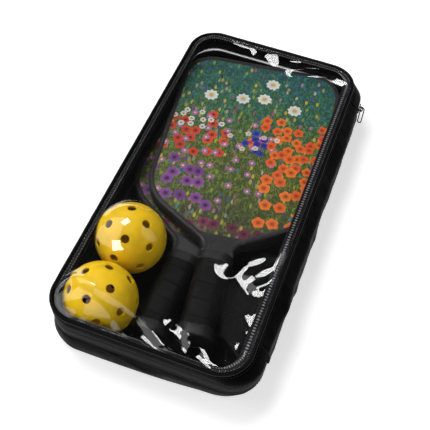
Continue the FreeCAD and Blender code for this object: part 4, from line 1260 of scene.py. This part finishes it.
def paddle_place(prefix):
    """The paddle's own frame: the middle of its top edge, its turn, and its middle level."""
    low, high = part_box(prefix + "_core")
    cap_low, cap_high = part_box(prefix + "_butt_cap")
    cap = (cap_low + cap_high) / 2
    turn = UPPER_TURN if prefix.startswith("upper") else LOWER_TURN
    level = (low.z + high.z) / 2
    reach = (PADDLE["length"] - 6.0) * MM
    top = Vector((cap.x - math.sin(turn) * reach, cap.y + math.cos(turn) * reach, level))
    return Matrix.Translation(top) @ Matrix.Rotation(turn, 4, "Z"), top, turn


def handle_ring(grow, y, sides=56):
    """Points round the handle's rounded section at a distance down the paddle."""
    half_x, half_z, corner = (size + grow for size in HANDLE)
    ring = []
    for k in range(sides):
        angle = 2 * math.pi * k / sides
        c, s = math.cos(angle), math.sin(angle)
        x = math.copysign(abs(c) ** HANDLE_POWER, c) * half_x
        z = math.copysign(abs(s) ** HANDLE_POWER, s) * half_z
        over_x, over_z = max(0, abs(x) - (half_x - corner)), max(0, abs(z) - (half_z - corner))
        away = math.hypot(over_x, over_z)
        if over_x > 0 and over_z > 0 and away > 0:
            x = math.copysign(half_x - corner + over_x * corner / away, x)
            z = math.copysign(half_z - corner + over_z * corner / away, z)
        ring.append((x, -y, z))
    return ring


def handle_sleeve(name, sections, wrap=None):
    """A sleeve through rings round the handle; wrap gives a helical edge its step."""
    rows = []
    for y, grow in sections:
        ring = handle_ring(grow, y)
        if wrap:
            pitch, step = wrap
            lifted = []
            for k, (x, down, z) in enumerate(ring):
                phase = (y / pitch + k / len(ring)) % 1.0
                lift = step * (1 - phase if phase < 0.9 else phase - 0.9)
                size = 1 + (lift - step / 2) / math.hypot(x, z)
                lifted.append((x * size, down, z * size))
            ring = lifted
        rows.append(ring)
    return skin(name, np.array(rows)[::-1] * MM, loop_columns=True, caps=True)


def make_guard(prefix):
    """The edge guard: a rounded channel swept round the head."""
    outline = head_path(0.0, PADDLE["head"] + 2.0)
    # Each pair is how far in from the outline, and the level, in millimetres.
    section = [(4.6, 7.1), (4.6, 7.65), (4.1, 7.98), (2.0, 8.0), (0.2, 7.9), (-0.7, 7.3),
               (-1.15, 6.2), (-1.2, 3.0), (-1.2, -3.0), (-1.15, -6.2), (-0.7, -7.3), (0.2, -7.9),
               (2.0, -8.0), (4.1, -7.98), (4.6, -7.65), (4.6, -7.1), (0.05, -7.05), (0.05, 7.05)]
    rows = []
    for (x, y), (nx, ny) in zip(outline.places, outline.normals):
        rows.append([(x - nx * depth, y - ny * depth, z) for depth, z in section])
    return skin(prefix + "_guard_rim", np.array(rows) * MM, loop_columns=True, caps=True)


def make_cap(prefix):
    """The butt cap: a rounded block, its end inset and dished."""
    cap = block(prefix + "_end_cap", (0, -370 * MM, 0), (38 * MM, 12 * MM, 30 * MM))
    round_edges(cap, lambda e: along(e, 1), 13.0 * MM, 8)
    edit(cap, lambda f: f.normal.y < -0.95)
    bpy.ops.mesh.bevel(offset=2.6 * MM, segments=5, affect="EDGES")
    leave_edit()
    edit(cap, lambda f: f.normal.y < -0.95 and f.calc_area() > 1e-4)
    bpy.ops.mesh.inset(thickness=2.0 * MM, depth=0)
    bpy.ops.mesh.inset(thickness=0.5 * MM, depth=-0.5 * MM)
    leave_edit()
    edit(cap, lambda f: f.normal.y > 0.95)
    bpy.ops.mesh.bevel(offset=0.6 * MM, segments=3, affect="EDGES")
    leave_edit()
    return cap


class CASE_OT_paddles(bpy.types.Operator):
    """Both paddles: edge guard, printed faces, wrapped handle, band and butt cap"""
    bl_idname = "case.paddles"
    bl_label = "Paddles"

    def execute(self, context):
        sizes = context.scene.case_sizes
        for prefix in ("upper_paddle", "lower_paddle"):
            place, top, turn = paddle_place(prefix)
            guard = make_guard(prefix)
            wraps = [(280.2 + k * 0.75, 0.0) for k in range(112)]
            grip = handle_sleeve(prefix + "_grip_wrap", wraps,
                                 wrap=(sizes.wrap_pitch / MM, 0.7))
            band = handle_sleeve(prefix + "_grip_band", [
                (279.4, 0.1), (279.6, 0.45), (280.4, 0.6), (284.0, 0.62), (288.0, 0.55),
                (289.0, 0.4), (289.2, 0.1)])
            cap = make_cap(prefix)
            for piece, slot, material, node in (
                    (guard, "edge_guard", "guard", "_edge_guard"),
                    (grip, "grip_wrap", "grip", "_grip"),
                    (band, "grip_band", "band", "_grip_collar"),
                    (cap, "butt_cap", "cap", "_butt_cap")):
                piece.data.transform(place)
                smooth(piece, 40)
                finish_piece(piece, prefix, MATERIALS[material], [prefix + node])
            printed = print_material(prefix + "_meadow_print", top, turn, 256.0)
            for node, material in (("_front_face", printed), ("_back_face", printed),
                                   ("_core", MATERIALS["core"]),
                                   ("_handle_pads", MATERIALS["foam"])):
                solid = frame["nodes"][prefix + node]
                solid.data.materials.clear()
                solid.data.materials.append(material)
        return {"FINISHED"}


# ---------------------------------------------------------------- balls

# Rows of holes: degrees above the ball's middle, how many, and where round it the first one is.
HOLE_ROWS = [(62.0, 4, 20.0), (22.0, 9, 0.0), (-22.0, 9, 20.0), (-62.0, 4, 65.0)]


def make_ball(name, node, turn, sizes):
    """A moulded shell: a sphere cut by its holes, given its wall, its rims softened."""
    centre, radius = ball_centre(node)
    deselect()
    bpy.ops.mesh.primitive_uv_sphere_add(segments=96, ring_count=48, radius=radius)
    ball = bpy.context.object
    ball.name = name
    drills = []
    for rise, count, first in HOLE_ROWS:
        for k in range(count):
            round_z = math.radians(first + 360 * k / count)
            up = math.radians(rise)
            aim = Vector((math.cos(up) * math.cos(round_z), math.cos(up) * math.sin(round_z),
                          math.sin(up)))
            deselect()
            bpy.ops.mesh.primitive_cylinder_add(vertices=24, radius=sizes.hole / 2,
                                                depth=14 * MM, location=aim * radius)
            drill = bpy.context.object
            drill.rotation_euler = aim.to_track_quat("Z", "Y").to_euler()
            drills.append(drill)
    cutter = join(drills, "drills")
    bake_place(cutter)
    apply_modifier(ball, "BOOLEAN", operation="DIFFERENCE", object=cutter, solver="EXACT")
    bpy.data.objects.remove(cutter)
    edit(ball, lambda v: v.co.length < radius - 0.4 * MM, "VERT")
    bpy.ops.mesh.delete(type="VERT")
    leave_edit()
    apply_modifier(ball, "SOLIDIFY", thickness=1.6 * MM, offset=-1.0)
    apply_modifier(ball, "BEVEL", width=0.35 * MM, segments=2, limit_method="ANGLE",
                   angle_limit=math.radians(50))
    ball.data.transform(Matrix.Translation(centre) @ Euler([math.radians(a) for a in turn])
                        .to_matrix().to_4x4())
    smooth(ball, 40)
    return ball


class CASE_OT_balls(bpy.types.Operator):
    """Two hollow balls with 26 round holes each"""
    bl_idname = "case.balls"
    bl_label = "Hole balls"

    def execute(self, context):
        sizes = context.scene.case_sizes
        for node, turn in (("low_ball", (207, 147, 171)), ("high_ball", (47, -17, -8))):
            ball = make_ball(node + "_shell", node, turn, sizes)
            finish_piece(ball, node, MATERIALS["ball"], [node])
        return {"FINISHED"}


# ---------------------------------------------------------------- stage

# Each softbox: name, place, width and height in metres, and power in watts.
LAMPS = (
    ("key_softbox", (-0.74, 0.37, 1.95), (0.85, 0.65), 16),
    ("left_softbox", (-1.9, -0.3, 1.7), (2.4, 2.4), 22),
    ("front_softbox", (0.3, -2.2, 1.6), (2.4, 1.8), 14),
    ("right_softbox", (2.1, 0.4, 1.7), (2.0, 2.0), 7),
)
CAMERA_PLACE = (0.1452, -0.478, 0.7067)
CAMERA_AHEAD = Vector((-0.174, 0.547, -0.8189))
CAMERA_UP = Vector((-0.3045, 0.7609, 0.573))
CAMERA_LENS = 64.5


def lamp(name, place, size, power):
    """A softbox aimed at the middle of the case."""
    data = bpy.data.lights.new(name, "AREA")
    data.shape = "RECTANGLE"
    data.size, data.size_y = size
    data.energy = power
    light = bpy.data.objects.new(name, data)
    light.location = place
    light.rotation_euler = (-Vector(place)).to_track_quat("-Z", "Y").to_euler()
    bpy.context.scene.collection.objects.link(light)


class CASE_OT_studio(bpy.types.Operator):
    """A pale floor, soft lights and the camera"""
    bl_idname = "case.studio"
    bl_label = "Floor, lights and camera"

    def execute(self, context):
        deselect()
        bpy.ops.mesh.primitive_plane_add(size=12, location=(0, 0, -0.15 * MM))
        floor = context.object
        floor.name = "studio_floor"
        material, tree = new_material("matt_white_floor")
        shader = add(tree, "BsdfPrincipled", {
            "Base Color": (0.93, 0.93, 0.93, 1), "Roughness": 0.9, "Specular IOR Level": 0.1,
            "Emission Color": (1, 1, 1, 1), "Emission Strength": 0.58})[0]
        add(tree, "OutputMaterial", {"Surface": shader})
        floor.data.materials.append(material)
        world = bpy.data.worlds.new("studio")
        context.scene.world = world
        world.use_nodes = True
        tree = world.node_tree
        tree.nodes.clear()
        seen = add(tree, "LightPath")["Is Camera Ray"]
        strength = add(tree, "Math", {0: seen, 1: 0.97, 2: 0.03}, operation="MULTIPLY_ADD")[0]
        room = add(tree, "Background", {"Color": (1, 1, 1, 1), "Strength": strength})[0]
        add(tree, "OutputWorld", {"Surface": room})
        context.scene.view_settings.view_transform = "Standard"
        for softbox in LAMPS:
            lamp(*softbox)
        data = bpy.data.cameras.new("camera")
        data.sensor_width = 36
        data.lens = CAMERA_LENS
        data.clip_start, data.clip_end = 0.01, 20
        camera = bpy.data.objects.new("camera", data)
        context.scene.collection.objects.link(camera)
        ahead = CAMERA_AHEAD.normalized()
        right = ahead.cross(CAMERA_UP.normalized()).normalized()
        up = right.cross(ahead)
        camera.matrix_world = Matrix.Translation(CAMERA_PLACE) @ Matrix(
            (right, up, -ahead)).transposed().to_4x4()
        context.scene.camera = camera
        return {"FINISHED"}


# ---------------------------------------------------------------- the add-on

class CASE_PT_panel(bpy.types.Panel):
    """Lists the pieces in the order in which they are made"""
    bl_label = "Paddle case"
    bl_idname = "CASE_PT_panel"
    bl_space_type = "VIEW_3D"
    bl_region_type = "UI"
    bl_category = "Paddle case"

    def draw(self, context):
        sizes, colours = case_settings(context)
        for group in (sizes, colours):
            for name in group.bl_rna.properties.keys():
                if name not in ("rna_type", "name"):
                    self.layout.prop(group, name)
        for operator in OPERATORS:
            self.layout.operator(operator.bl_idname)


OPERATORS = (CASE_OT_studio, CASE_OT_back_panel, CASE_OT_gussets, CASE_OT_spine, CASE_OT_piping,
             CASE_OT_bindings, CASE_OT_zip, CASE_OT_slider, CASE_OT_pull, CASE_OT_paddles,
             CASE_OT_balls, CASE_OT_film)
CLASSES = (CaseSizes, CaseColours, *OPERATORS, CASE_PT_panel)


def register():
    for made in CLASSES:
        bpy.utils.register_class(made)
    bpy.types.Scene.case_sizes = PointerProperty(type=CaseSizes)
    bpy.types.Scene.case_colours = PointerProperty(type=CaseColours)


def unregister():
    del bpy.types.Scene.case_colours
    del bpy.types.Scene.case_sizes
    for made in reversed(CLASSES):
        bpy.utils.unregister_class(made)


def main():
    register()
    make_materials(*case_settings(bpy.context))
    for operator in OPERATORS:
        getattr(bpy.ops.case, operator.bl_idname.split(".")[1])()
    deselect()


if __name__ == "__main__":
    main()
